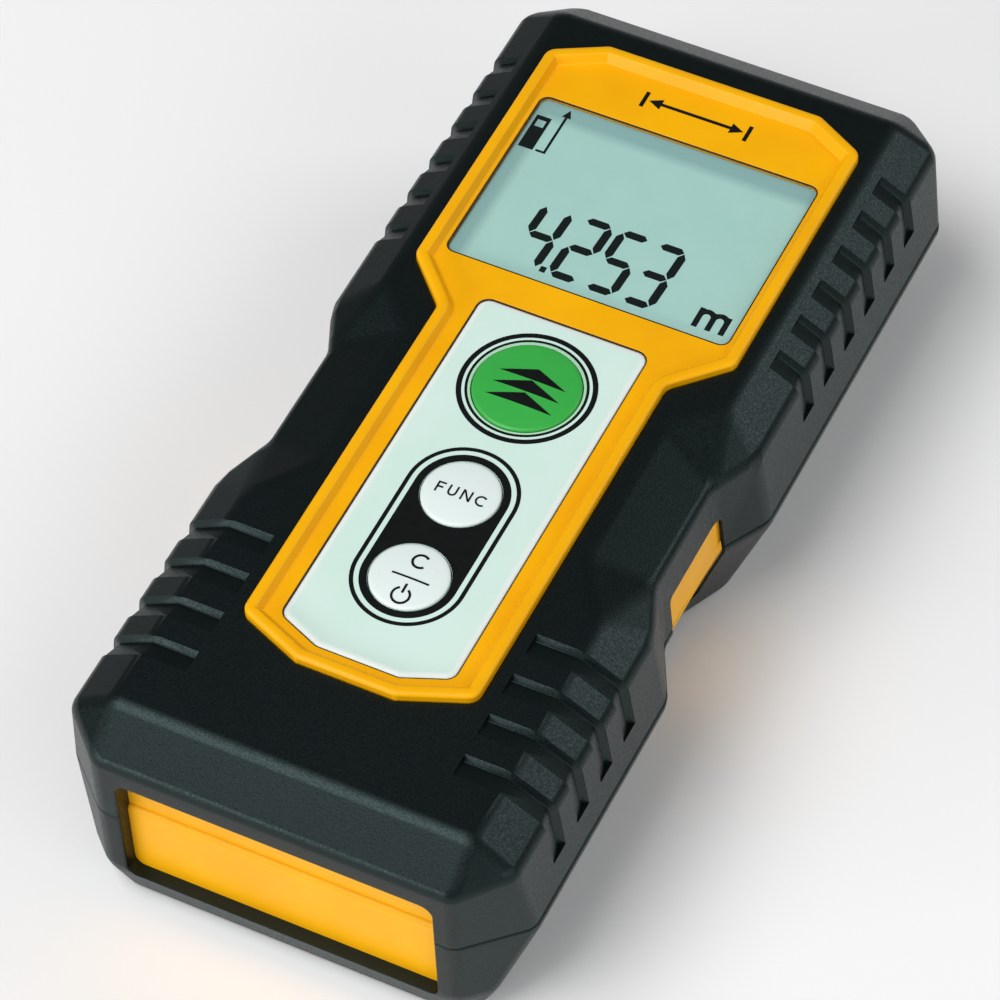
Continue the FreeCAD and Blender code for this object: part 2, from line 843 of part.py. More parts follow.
def make_rear_shell():
    inside = size.skin + size.shell_wall
    shell = facet_solid(rear_rings(size.skin, size.end_skin, size.skin))
    land = waist_land(facet_solid(rear_rings(size.land_gap, size.end_skin, size.skin)))
    base_pad = prism(base_window_outline(size.fit_gap), size.base_recess, inside)
    shell = shell.fuse([land, base_pad])
    shell = shell.cut(facet_solid(rear_rings(inside, size.end_skin + size.shell_wall, inside)))
    outer, inner = battery_bay(inside - size.fit_gap)
    near, far = bay_places()
    ledge = size.door_ledge
    floor = block((-bay_half(), near, size.base_recess), (bay_half(), far, inside))
    opening = block((-bay_half(), near + ledge, -TOOL_REACH),
                    (bay_half(), far - ledge, cell_z()))
    posts = [post(x, y, size.screw_boss_radius, size.skin, size.parting_z)
             for x, y in screw_places()]
    posts += [post(x, y, size.board_boss_radius, inside - size.fit_gap, size.lug_z)
              for x, y in lug_places()]
    shell = shell.fuse([outer] + posts).cut(inner).fuse(floor)
    holes = [post(x, y, size.screw_radius + size.fit_gap, size.screw_seat_z - size.fit_gap,
                  size.parting_z) for x, y in screw_places()]
    holes += [post(x, y, size.screw_head_radius + size.fit_gap, 0, size.screw_seat_z)
              for x, y in screw_places()]
    tip_z = size.lug_z + size.lug_thick - size.board_screw_length
    holes += [post(x, y, size.board_screw_radius + size.fit_gap, tip_z - size.fit_gap,
                   size.lug_z) for x, y in lug_places()]
    shell = shell.cut(holes + [opening, optics_port(), seal_band(size.seal_height)])
    shell = shell.cut(list(door_cuts()))
    shape_part("rear_shell", shell)


def make_housing_seal():
    shape_part("housing_seal", seal_band(size.seal_height))


# ---------------------------------------------------------------- display and keypad

PLATE = "(body_height - rim_height)"
BOARD_TOP = "(body_height - rim_height - board_drop)"


def rectangle(half, near, far):
    return [(f"-({half})", near), (half, near), (half, far), (f"-({half})", far)]


def make_display():
    """Clear window, glass, pale reflector, holder and rubber connector strip."""
    plate("display_window", rectangle("window_width / 2", "window_near_y", "window_far_y"),
          f"{PLATE} - window_thick", "window_thick")
    glass_top = f"({PLATE} - window_thick - 2 * fit_gap)"
    plate("lcd_glass", rectangle("window_width / 2 - glass_margin",
                                 "window_near_y + glass_margin", "window_far_y - glass_margin"),
          f"{glass_top} - glass_thick", "glass_thick")
    reflector_top = f"({glass_top} - glass_thick - fit_gap)"
    plate("lcd_reflector",
          rectangle("window_width / 2 - 2 * glass_margin", "window_near_y + reflector_near",
                    "window_far_y - 2 * glass_margin"),
          f"{reflector_top} - reflector_thick", "reflector_thick")
    holder = plate("lcd_holder", rectangle("holder_width / 2", "window_near_y - holder_margin",
                                           "window_far_y + holder_margin"),
                   f"{BOARD_TOP} + fit_gap",
                   f"{reflector_top} - reflector_thick - fit_gap + holder_pocket_depth"
                   f" - {BOARD_TOP} - fit_gap")
    top = f"{reflector_top} - reflector_thick - fit_gap + holder_pocket_depth"
    pierce(holder, lambda sketch: draw_rectangle(
        sketch, "-(window_width / 2 - glass_margin)", "window_near_y + reflector_near - fit_gap",
        "window_width / 2 - glass_margin", "window_far_y - glass_margin"),
        top, "holder_pocket_depth")
    pierce(holder, lambda sketch: draw_rectangle(
        sketch, "-(connector_width / 2 + fit_gap)", "window_near_y + glass_margin",
        "connector_width / 2 + fit_gap",
        "window_near_y + glass_margin + connector_thick + 2 * fit_gap"),
        top, "board_drop")
    plate("lcd_connector",
          rectangle("connector_width / 2", "window_near_y + glass_margin + fit_gap",
                    "window_near_y + glass_margin + fit_gap + connector_thick"),
          f"{BOARD_TOP} + fit_gap",
          f"{reflector_top} - {BOARD_TOP} - fit_gap")


KEYS = {
    "measure_button": ("measure_y", "measure_radius"),
    "function_button": ("function_y", "small_key_radius"),
    "clear_button": ("clear_y", "small_key_radius"),
}


def make_keypad_panel():
    half = "keypad_width / 2"
    outline = [(f"-({half}) + keypad_cut_x", "keypad_near_y"),
               (f"{half} - keypad_cut_x", "keypad_near_y"),
               (half, "keypad_near_y + keypad_cut_y"), (half, "keypad_far_y"),
               (f"-({half})", "keypad_far_y"), (f"-({half})", "keypad_near_y + keypad_cut_y")]
    panel = plate("keypad_panel", outline, f"{PLATE} - keypad_thick", "keypad_thick")
    for place_y, radius in KEYS.values():
        pierce(panel, lambda sketch: draw_circle(sketch, "0", place_y, radius), PLATE,
               "keypad_thick")


def make_button(label, place_y, radius):
    """Crowned cap with a flange under the panel and a stem down to its dome switch."""
    body = new_body(label)
    cap = f"({radius} - key_gap)"
    under = "(-keypad_thick - fit_gap)"
    stem_end = "(dome_height + fit_gap + key_travel - board_drop)"
    turn_round(body, [
        ("0", stem_end), ("key_stem_radius", stem_end),
        ("key_stem_radius", f"{under} - key_flange_thick"),
        (f"{radius} + key_flange", f"{under} - key_flange_thick"),
        (f"{radius} + key_flange", under), (cap, under), (cap, "key_proud"),
        *crown(cap, "key_proud", "key_crown")])
    finish(place(body, "0", place_y, PLATE), label)


def make_key_domes():
    """Snap domes on the board, one under each stem."""
    domes = []
    for place_y, _ in KEYS.values():
        base = cylinder("0", place_y, BOARD_TOP, "dome_radius", "dome_height / 2", "dome_base")
        crown = document.addObject("Part::Cone", "dome_crown")
        crown.setExpression("Radius1", formula("dome_radius"))
        crown.setExpression("Radius2", formula("dome_radius / 2"))
        crown.setExpression("Height", formula("dome_height / 2"))
        place(crown, "0", place_y, f"{BOARD_TOP} + dome_height / 2")
        domes.append(join("dome", [base, crown]))
    finish(group("key_domes", domes), "key_domes")


# ---------------------------------------------------------------- main board

BOARD_BASE = "(body_height - rim_height - board_drop - board_thick)"

# What is soldered under the board. A chip is its centre x and y, length, width and height.
CHIPS = {
    "processor_chip": (0.0, 19.0, 10.0, 10.0, 1.4),
    "board_connector": (0.0, 26.4, 10.0, 2.4, 1.5),
    "crystal": (-7.5, 8.0, 8.0, 3.2, 1.8),
}
DRIVER_CHIPS = [(-9.0, -2.0, 5.0, 6.2, 1.5), (8.0, 2.0, 4.0, 5.0, 1.2), (11.0, 22.0, 4.0, 4.0, 1.0)]
# A can is its centre x and y, radius and height.
CAPACITORS = [(-12.0, 22.0, 1.6, 1.8), (-12.0, 26.5, 1.6, 1.8), (3.0, 8.0, 2.0, 2.6),
              (12.0, -20.0, 2.0, 2.6)]
BUZZER = (0.0, -20.0, 4.2, 3.0)


def make_main_board():
    board = plate("main_board", rectangle("board_width / 2", "board_near_y", "board_far_y"),
                  BOARD_BASE, "board_thick")

    def screw_holes(sketch):
        for side in ("-board_screw_x", "board_screw_x"):
            for row in ("board_screw_near_y", "board_screw_far_y"):
                draw_circle(sketch, side, row, "board_screw_radius + fit_gap")

    pierce(board, screw_holes, BOARD_TOP, "board_thick")


def hang_chip(x, y, length, width, height, name):
    """A chip soldered to the underside of the main board."""
    return box(f"{x - length / 2}", f"{y - width / 2}", f"{BOARD_BASE} - {height}",
               f"{length}", f"{width}", f"{height}", name)


def board_base_z():
    return size.body_height - size.rim_height - size.board_drop - size.board_thick


def hang_can(x, y, radius, height, name):
    """A round can under the main board, no taller than the room over the battery bay."""
    height = min(height, board_base_z() - bay_roof() - size.bay_wall - size.fit_gap)
    return cylinder(f"{x}", f"{y}", f"{BOARD_BASE} - {height}", f"{radius}", f"{height}", name)


def make_board_parts():
    for label, (x, y, length, width, height) in CHIPS.items():
        finish(hang_chip(x, y, length, width, height, label), label)
    drivers = [hang_chip(*chip, "driver") for chip in DRIVER_CHIPS]
    finish(group("driver_chips", drivers), "driver_chips")
    finish(group("capacitors", [hang_can(*can, "can") for can in CAPACITORS]), "capacitors")
    finish(hang_can(*BUZZER, "buzzer"), "buzzer")


# ---------------------------------------------------------------- fasteners

def screw_body(name, radius, head_radius, head_height, length):
    """A pan-head screw that points up, its head's seat at the body's own origin."""
    body = new_body(name)
    turn_round(body, [("0", f"-({head_height})"), (f"{head_radius} - {radius} / 2",
                                                   f"-({head_height})"),
                      (head_radius, f"-({head_height}) / 2"), (head_radius, "0"), (radius, "0"),
                      (radius, f"{length} - {radius}"), (f"{radius} / 2", length),
                      ("0", length)])
    slot_long = f"({head_radius} * screw_slot_share)"
    slot_half = "(screw_slot_width / 2)"
    for half_x, half_y in ((slot_long, slot_half), (slot_half, slot_long)):
        sketch = new_sketch(body, "XY_Plane", f"-({head_height})")
        draw_rectangle(sketch, f"-{half_x}", f"-{half_y}", half_x, half_y)
        pocket(body, sketch, "screw_drive", backwards=True)
    return body


def spread(body, label, places, seat_z, tip_up=True):
    """Copies of one screw, as loose solids in one node."""
    document.recompute()
    turn = FreeCAD.Rotation(FreeCAD.Vector(1, 0, 0), 0 if tip_up else 180)
    copies = []
    for x, y in places:
        copy = body.Shape.copy()
        copy.Placement = FreeCAD.Placement(FreeCAD.Vector(x, y, seat_z), turn)
        copies.append(copy)
    shape_part(label, Part.makeCompound(copies))


def make_screws():
    housing = screw_body("housing_screw", "screw_radius", "screw_head_radius",
                         "screw_head_height", "screw_length")
    spread(housing, "housing_screws", screw_places(), size.screw_seat_z)
    small = screw_body("small_screw", "board_screw_radius", "board_screw_head",
                       "small_head_height", "board_screw_length")
    spread(small, "board_screws", board_screw_places(), board_base_z())
    spread(small, "carrier_screws", lug_places(), size.lug_z + size.lug_thick, tip_up=False)


# ---------------------------------------------------------------- batteries

def make_cell(label, x, near_y, turned):
    """A cell along Y; the nub is at the far end unless it is turned round."""
    body = new_body(label)
    can_end = "(cell_length - cell_nub_length)"
    turn_round(body, [("0", "0"), ("cell_radius - cell_edge", "0"), ("cell_radius", "cell_edge"),
                      ("cell_radius", f"{can_end} - cell_edge"),
                      ("cell_radius - cell_edge", can_end),
                      ("cell_nub_radius", can_end), ("cell_nub_radius", "cell_length"),
                      ("0", "cell_length")])
    angle = 90 if turned else -90
    y = near_y + (size.cell_length if turned else 0.0)
    body.Placement = FreeCAD.Placement(FreeCAD.Vector(x, y, cell_z()),
                                       FreeCAD.Rotation(FreeCAD.Vector(1, 0, 0), angle))
    finish(body, label)


def coil_spring(x, base_y, length, direction):
    """A cone of spring wire along Y, from its base towards the cell."""
    wire = size.spring_wire
    pitch = (length - 2 * wire) / size.spring_turns
    lean = math.degrees(math.atan2(size.spring_taper, length - 2 * wire))
    helix = Part.makeHelix(pitch, length - 2 * wire, size.spring_radius, -lean)
    start = helix.Edges[0].Vertexes[0].Point
    circle = Part.Wire(Part.makeCircle(wire, start, FORWARD))
    coil = Part.Wire(helix).makePipeShell([circle], True, True)
    coil.rotate(FreeCAD.Vector(), FreeCAD.Vector(1, 0, 0), -90 * direction)
    coil.translate(FreeCAD.Vector(x, base_y + direction * wire, cell_z()))
    return coil


def contact_plate(x, y, width):
    low_z = cell_z() - size.contact_height / 2
    return block((x - width / 2, y, low_z),
                 (x + width / 2, y + size.contact_thick, low_z + size.contact_height))


def make_batteries():
    """Two cells side by side, head to tail, with their contacts and wires."""
    near, far = bay_places()
    offset = cell_offset()
    plate_y = near + size.fit_gap
    inner_y = plate_y + size.contact_thick
    bridge_y = far - size.fit_gap - size.contact_thick
    spring_length = bridge_y - inner_y - size.cell_length - 2 * size.fit_gap
    make_cell("battery_left", -offset, inner_y + spring_length + size.fit_gap, False)
    make_cell("battery_right", offset, inner_y + size.fit_gap, True)
    flat = contact_plate(-offset, plate_y, size.contact_width)
    shape_part("contact_spring", Part.makeCompound([
        flat, coil_spring(-offset, inner_y, spring_length - size.fit_gap, 1)]))
    shape_part("contact_plate", contact_plate(offset, plate_y, size.contact_width))
    bridge = contact_plate(0.0, bridge_y, 2 * offset + size.contact_width)
    shape_part("contact_bridge", Part.makeCompound([
        bridge, coil_spring(offset, bridge_y, spring_length - size.fit_gap, -1)]))


def make_battery_wires():
    """Two wires from the bay's near wall up to the underside of the board."""
    near = bay_places()[0]
    roof_z = bay_roof() + size.bay_wall
    board_base = board_base_z()
    radius = size.wire_radius
    low_z = roof_z + radius + size.fit_gap
    bend = (board_base - size.fit_gap - low_z) / 2
    wires = []
    for x in (-cell_offset(), cell_offset()):
        start = FreeCAD.Vector(x, near, low_z)
        turn_in = FreeCAD.Vector(x, size.board_near_y + size.cell_radius - bend, low_z)
        corner = turn_in + FreeCAD.Vector(0, bend * math.sin(math.pi / 4),
                                          bend * (1 - math.cos(math.pi / 4)))
        turn_out = turn_in + FreeCAD.Vector(0, bend, bend)
        finish_point = turn_out + FreeCAD.Vector(0, 0, bend)
        path = Part.Wire([Part.makeLine(start, turn_in),
                          Part.Arc(turn_in, corner, turn_out).toShape(),
                          Part.makeLine(turn_out, finish_point)])
        circle = Part.Wire(Part.makeCircle(radius, start, FORWARD))
        wires.append(path.makePipeShell([circle], True, False))
    shape_part("battery_wires", Part.makeCompound(wires))


def make_battery_door():
    """Door plate with a round hinge edge, two pins and finger grooves."""
    near, far = bay_places()
    axis_y, axis_z = hinge_place()
    half = bay_half() + size.door_ledge - size.door_gap
    low_z = size.base_recess + size.door_inset
    barrel = Part.makeCylinder(size.door_thick / 2, 2 * half,
                               FreeCAD.Vector(-half, axis_y, axis_z), FreeCAD.Vector(1, 0, 0))
    pins = Part.makeCylinder(size.door_pin_radius, 2 * (half + size.door_pin_length),
                             FreeCAD.Vector(-half - size.door_pin_length, axis_y, axis_z),
                             FreeCAD.Vector(1, 0, 0))
    leaf = block((-half, near + size.door_gap, low_z), (half, axis_y, low_z + size.door_thick))
    first = near + size.door_gap + 2 * size.door_groove_pitch
    grooves = [block((-size.door_groove_span / 2, first + i * size.door_groove_pitch, 0),
                     (size.door_groove_span / 2,
                      first + i * size.door_groove_pitch + size.door_groove_width,
                      low_z + size.door_groove_depth))
               for i in range(int(size.door_groove_count))]
    door = leaf.fuse([barrel, pins]).removeSplitter().cut(grooves)
    shape_part("battery_door", door)


# ---------------------------------------------------------------- optics

def carrier_front_y():
    return size.body_length / 2 - size.end_skin - size.fit_gap


FRONT = "(body_length / 2 - end_skin - fit_gap)"


def lengthwise(label, x, z, y, corners):
    """A turned piece along Y; corners are (radius, distance towards the far end)."""
    body = new_body(label)
    turn_round(body, corners)
    body.Placement = FreeCAD.Placement(FreeCAD.Vector(), FreeCAD.Rotation(
        FreeCAD.Vector(1, 0, 0), -90))
    return finish(place(body, x, y, z), label)


def make_optics_carrier():
    """Block with a receiver bore, a laser bore and two side lugs."""
    body = new_body("optics_carrier")
    half = "carrier_width / 2"
    sketch = new_sketch(body, "XZ_Plane", f"-{FRONT}")
    draw_rectangle(sketch, f"-({half})", "optics_z - carrier_height / 2", half,
                   "optics_z + carrier_height / 2")
    pad(body, sketch, "carrier_length")
    lugs = new_sketch(body, "XY_Plane", "lug_z")
    rear = f"({FRONT} - carrier_length + lug_from_rear - lug_length / 2)"
    draw_rectangle(lugs, f"-({half} + lug_width)", rear, f"{half} + lug_width",
                   f"{rear} + lug_length")
    pad(body, lugs, "lug_thick")
    bores = new_sketch(body, "XZ_Plane", f"-{FRONT}")
    draw_circle(bores, "receiver_x", "optics_z", "receiver_bore_radius")
    draw_circle(bores, "laser_x", "optics_z", "barrel_radius + fit_gap")
    pocket(body, bores, "carrier_length", backwards=True)
    seat = new_sketch(body, "XZ_Plane", f"-{FRONT}")
    draw_circle(seat, "receiver_x", "optics_z", "lens_radius + fit_gap")
    pocket(body, seat, "lens_edge", backwards=True)
    holes = new_sketch(body, "XY_Plane", "lug_z + lug_thick")
    for side in (f"-({half} + lug_width / 2)", f"{half} + lug_width / 2"):
        draw_circle(holes, side, f"{rear} + lug_length / 2", "board_screw_radius + fit_gap")
    pocket(body, holes, "lug_thick")
    finish(body, "optics_carrier")


def make_lenses():
    """Receiver lens, receiver filter, collimator lens and the clear disc over the laser."""
    rim = "(lens_edge - 2 * fit_gap)"
    lengthwise("receiver_lens", "receiver_x", "optics_z", f"{FRONT} - lens_edge + fit_gap", [
        ("0", "0"), ("lens_radius", "0"), ("lens_radius", rim),
        *crown("lens_radius", rim, "lens_crown")])
    lengthwise("receiver_filter", "receiver_x", "optics_z",
               f"{FRONT} - carrier_length + sensor_length + filter_thick", [
                   ("0", "0"), ("filter_radius", "0"), ("filter_radius", "filter_thick"),
                   ("0", "filter_thick")])
    lengthwise("collimator_lens", "laser_x", "optics_z",
               f"{FRONT} - barrel_from_front - collimator_edge - collimator_crown - fit_gap", [
                   ("0", "0"), ("collimator_radius", "0"),
                   ("collimator_radius", "collimator_edge"),
                   *crown("collimator_radius", "collimator_edge", "collimator_crown")])
    disc = "(laser_hole_radius - fit_gap)"
    lengthwise("laser_window", "laser_x", "optics_z", f"{FRONT} + fit_gap + disc_inset", [
        ("0", "0"), (disc, "0"), (disc, "disc_thick"), ("0", "disc_thick")])


def make_laser():
    """Brass barrel and the diode that closes its rear end."""
    lengthwise("laser_barrel", "laser_x", "optics_z", f"{FRONT} - barrel_from_front"
               " - barrel_length", [
                   ("barrel_bore_radius", "0"), ("barrel_radius", "0"),
                   ("barrel_radius", "barrel_length"), ("barrel_bore_radius", "barrel_length")])
    lengthwise("laser_diode", "laser_x", "optics_z",
               f"{FRONT} - barrel_from_front - barrel_length - diode_flange - fit_gap", [
                   ("0", "0"), ("diode_radius", "0"), ("diode_radius", "diode_flange"),
                   ("diode_can_radius", "diode_flange"), ("diode_can_radius", "diode_length"),
                   ("0", "diode_length")])


def make_receiver():
    """Receiver board behind the carrier, its sensor, and the flex cable up to the main board."""
    rear = f"({FRONT} - carrier_length - fit_gap)"
    board = box("-carrier_width / 2", f"{rear} - receiver_board_thick",
                "optics_z - carrier_height / 2", "carrier_width", "receiver_board_thick",
                "carrier_height", "receiver_board")
    finish(board, "receiver_board")
    lengthwise("receiver_sensor", "receiver_x", "optics_z", rear, [
        ("0", "0"), ("sensor_radius", "0"), ("sensor_radius", "sensor_length"),
        ("0", "sensor_length")])
    flex_y = f"({rear} - receiver_board_thick - fit_gap - flex_thick)"
    flex_top = f"({BOARD_BASE} - {CHIPS['board_connector'][4]} - fit_gap)"
    upright = box("-flex_width / 2", flex_y, "optics_z", "flex_width", "flex_thick",
                  f"{flex_top} - optics_z", "flex_upright")
    tail = box("-flex_width / 2", f"{flex_y} - flex_tail", f"{flex_top} - flex_thick",
               "flex_width", "flex_tail + flex_thick", "flex_thick", "flex_tail")
    finish(join("flex_cable", [upright, tail]), "flex_cable")


def make_optics_panel():
    """Dark plate in the far end window, with a hole for each beam."""
    body = new_body("optics_panel")
    sketch = new_sketch(body, "XZ_Plane", f"-({FRONT} + fit_gap)")
    cut = "panel_corner"
    half = "(panel_width / 2)"
    low = "(optics_z - panel_height / 2)"
    high = "(optics_z + panel_height / 2)"
    draw_outline(sketch, [
        (f"-{half} + {cut}", low), (f"{half} - {cut}", low), (half, f"{low} + {cut}"),
        (half, f"{high} - {cut}"), (f"{half} - {cut}", high), (f"-{half} + {cut}", high),
        (f"-{half}", f"{high} - {cut}"), (f"-{half}", f"{low} + {cut}")])
    pad(body, sketch, "panel_thick", backwards=True)
    holes = new_sketch(body, "XZ_Plane", f"-({FRONT} + fit_gap)")
    draw_circle(holes, "receiver_x", "optics_z", "receiver_hole_radius")
    draw_circle(holes, "laser_x", "optics_z", "laser_hole_radius")
    pocket(body, holes, "panel_thick", backwards=False)
    finish(body, "optics_panel")


# ---------------------------------------------------------------- build, check and write

def check(item):
    """Stop on a failed feature or a broken shape."""
    if any(word in item.State for word in ("Invalid", "Error")):
        raise RuntimeError(f"{item.Label} failed: {item.State}")
    if item in parts and (item.Shape.isNull() or not item.Shape.isValid()):
        raise RuntimeError(f"{item.Label} has a broken shape")


def build():
    make_front_overmould()
    make_rear_overmould()
    make_front_shell()
    make_rear_shell()
    make_housing_seal()
    make_display()
    make_keypad_panel()
    for label, (place_y, radius) in KEYS.items():
        make_button(label, place_y, radius)
    make_key_domes()
    make_main_board()
    make_board_parts()
    make_screws()
    make_batteries()
    make_battery_wires()
    make_battery_door()
    make_optics_carrier()
    make_lenses()
    make_laser()
    make_receiver()
    make_optics_panel()


def write_parts():
    document.recompute()
    for item in document.Objects:
        check(item)
    os.makedirs("parts", exist_ok=True)
    for item in parts:
        item.Shape.exportStep(f"parts/{item.Label}.step")


build()
write_parts()
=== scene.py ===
import bpy
import bmesh
import json
import math
from mathutils import Matrix, Vector


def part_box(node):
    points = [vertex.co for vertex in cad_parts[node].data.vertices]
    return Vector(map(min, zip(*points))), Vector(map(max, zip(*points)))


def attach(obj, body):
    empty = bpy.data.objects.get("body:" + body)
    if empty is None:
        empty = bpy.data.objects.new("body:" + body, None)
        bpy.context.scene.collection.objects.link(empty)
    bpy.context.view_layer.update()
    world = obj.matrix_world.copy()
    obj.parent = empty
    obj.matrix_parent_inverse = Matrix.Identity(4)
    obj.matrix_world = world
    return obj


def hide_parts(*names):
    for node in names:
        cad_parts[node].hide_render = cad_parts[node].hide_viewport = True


# Looks of the handheld laser distance meter. Sizes below are millimetres, as in the CAD;
# meshes are in metres. +Y is towards the laser end and +Z is up out of the display.

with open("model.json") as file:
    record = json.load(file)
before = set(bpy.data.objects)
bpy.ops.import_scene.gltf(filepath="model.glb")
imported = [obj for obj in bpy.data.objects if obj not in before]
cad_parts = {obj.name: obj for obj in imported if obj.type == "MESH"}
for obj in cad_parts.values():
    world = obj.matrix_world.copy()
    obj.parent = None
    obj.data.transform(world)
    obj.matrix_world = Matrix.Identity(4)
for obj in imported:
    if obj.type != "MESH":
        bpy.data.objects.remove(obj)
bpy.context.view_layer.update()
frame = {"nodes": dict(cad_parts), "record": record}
MM = 0.001
CLEAR = 10.0            # how far a cutter runs past the faces that it opens
PRINT_SINK = 0.01       # how far a print's underside lies under the face that it is on,
THIN_SINK = 0.005       # and the same on the display and on the key caps

# ---------------------------------------------------------------- sizes

# The body. Widths are half widths, and heights are counted from the base.
HALF_LENGTH = 55.0
FRONT_HALF = 25.4
REAR_HALF = 25.5
PARTING_Z = 13.8        # where the two soft skins meet
LIP_Z = 13.0            # under it the rear skin tapers, over it its side is upright
WAIST_DEPTH = 3.1
DRAFT = 1.2             # how far the front side leans in up to the shoulder
WAIST_DRAFT = 0.6
TOP_Z = 26.2
SHOULDER_DROP = 2.8     # how far the chamfer round the top face falls, at the sides,
WAIST_DROP = 2.4        # at the waist
END_DROP = 3.9          # and at the ends
SHOULDER_WIDTH = 4.7    # how wide the same chamfer is, in the same three places
WAIST_SHOULDER = 7.05
END_SHOULDER = 4.95
CORNER_WIDTH = 4.8      # the cut corner's width, and its length for each of that
CORNER_SLOPE = 0.94
BASE_HALF = 20.5
BASE_WAIST = 17.8
BASE_CORNER = 2.8
BASE_INSET = 1.4        # how far the ends draw in under the taper's height
TAPER_Z = 4.6
SIDE_MARKS = (-19.5, -13.5, -0.55, 5.0)     # y of the waist's four bends, at the side
TOP_MARKS = (-22.3, -15.25, 2.8, 8.0)       # and on the top face
SKIN = 1.6
END_SKIN = 2.1
EDGE_ROUND = 0.85       # radius-like width of the soft facets' edges
SEAM_ROUND = 0.3        # the same where the two skins meet

# Openings in the skins
END_WINDOW = (17.2, 4.1, 19.3, 1.3)         # half width, low z, high z, corner radius
END_FLARE = ((0.0, -0.28), (0.12, -0.08), (0.3, 0.0))    # depth under the face, inset there
SIDE_WINDOW = (-11.4, 0.1, 4.0, 18.5)       # near y, far y, low z, high z
SIDE_WINDOW_ROUND = 0.7
SIDE_FLARE = ((8.0, 0.0), (21.0, 0.0), (23.0, -0.12), (REAR_HALF + CLEAR, -0.12))
BASE_WINDOW = (15.1, 50.9)                  # half width, half length
BASE_WINDOW_ROUND = 1.2
BASE_FLARE = ((-CLEAR, -0.35), (0.0, -0.35), (0.12, -0.1), (0.35, 0.0), (PARTING_Z + 1, 0.0))
SCREWS = [(x, y) for x in (-15.8, 15.8) for y in (-46.8, 46.8)]
SCREW_TURNS = [0.3, 1.1, 0.7, 0.1]          # how each is left turned, in radians
SCREW_SEAT_Z = 6.0
SCREW_HOLE = 2.15
SCREW_MOUTH = 2.45

# Grip pockets: a steep far wall, and a floor that rises to the near end
POCKET_LENGTH = 2.2
POCKET_DEPTH = 0.6
POCKET_LEAN = 0.45
POCKET_LIP = 0.08
POCKET_EASE = 0.45      # how far from the shoulder the floor's own bend starts
HEAD_POCKETS = (42.85, -5.16, 6, 20.9, 18.5)    # first wall's y, pitch, number, inner x, low z
TAIL_POCKETS = (-41.9, 5.23, 4, 14.45, 17.5)

# Bezel with the window and the keypad. Outlines are right halves, from near to far.
PLATE_Z = 26.0
RIM_Z = 27.0
BEZEL_LOW_Z = 24.2
BEZEL = [(5.40, -38.57), (12.87, -35.55), (12.87, 7.31), (18.14, 12.64), (18.14, 44.06),
         (12.26, 47.16)]
BEZEL_ROUND = 1.5
BEZEL_FLARE = ((PARTING_Z - 1, -0.05), (TOP_Z - 0.3, -0.05), (TOP_Z - 0.1, -0.12),
               (TOP_Z, -0.3), (TOP_Z + CLEAR, -0.3))     # the skin's opening round it
BEZEL_PROFILE = [(0.0, BEZEL_LOW_Z), (0.0, 26.62), (0.06, 26.8), (0.2, 26.93), (0.4, 26.99),
                 (0.6, RIM_Z), (0.98, RIM_Z), (1.14, 26.95), (1.26, 26.85), (1.58, 26.22),
                 (1.66, 26.1), (1.76, 26.02), (1.9, PLATE_Z)]    # inset from the outline, z
SEAT_GROW = 0.06        # room round the window and the keypad in the bezel
SEAT_BREAK = 0.14       # the same where their seats' upper edge is broken
WINDOW_HALF = 16.0
WINDOW_NEAR = 15.03
WINDOW_FAR = 38.53
WINDOW_ROUND = 1.0
WINDOW_LOW_Z = 25.6
CELL_LOW_Z = 24.25
GLASS_Z = 25.57
PANE_FIT = 0.04         # how much smaller the window and its display are than the opening
KEYPAD = [(4.51, -35.89), (9.49, -33.85), (9.49, 10.82)]
KEYPAD_ROUND = 1.3
KEYPAD_LEDGE = 1.2      # how far the bezel reaches under the keypad
KEYPAD_LOW_Z = 25.0
KEYPAD_BEVEL = 0.8
KEYPAD_PROFILE = [(0.0, KEYPAD_LOW_Z), (0.0, 25.66), (0.05, 25.78), (0.16, 25.88),
                  (0.36, 25.95), (0.62, 25.99), (KEYPAD_BEVEL, PLATE_Z)]
# Black rings in the gaps round the window and the keypad: a dark sheet standing in for the shade in
# those gaps.
GAP_SHADE_LOW_Z = PLATE_Z - 0.22
GAP_SHADE_THICK = 0.19
GAP_SHADE_OUTER = -0.055
WINDOW_GAP_SHADE_INNER = 0.035
KEYPAD_GAP_SHADE_INNER = -0.005

SHELL_ROOM = 0.3        # how far past the bezel piece the front shell is cut back

# Near end lip, and the recess for a label in the base
LIP_REACH = 0.4         # how far the lip runs past the opening, hidden behind the skin
LIP_ROUND = 0.6
LIP_PROFILE = ((-0.05, 0.0), (0.12, 0.0), (0.26, 0.12), (0.38, 0.3), (0.44, 0.48))  # proud, inset
LABEL_HALF = 12.0
LABEL_NEAR = 8.0
LABEL_FAR = 36.0
LABEL_ROUND = 1.5
LABEL_DEPTH = 0.25

# Keys
MEASURE_Y = 1.71
MEASURE_R = 5.76
FUNCTION_Y = -13.27
CLEAR_Y = -24.64
SMALL_R = 4.2
KEY_GAP = 0.12
CAP_Z = 26.2            # a cap's height at its edge
CROWN = 0.25            # and how much higher its middle is
CROWN_SHARES = (0.93, 0.85, 0.75, 0.6, 0.45, 0.3, 0.15, 0.0)
FLANGE_REACH = 0.8
FLANGE_LOW_Z = 24.25
FLANGE_TOP_Z = 24.95
FLANGE_EDGE = 0.05
STEM_R = 2.0
STEM_LOW_Z = 21.95
STEM_EDGE = 0.2


# ---------------------------------------------------------------- mesh helpers

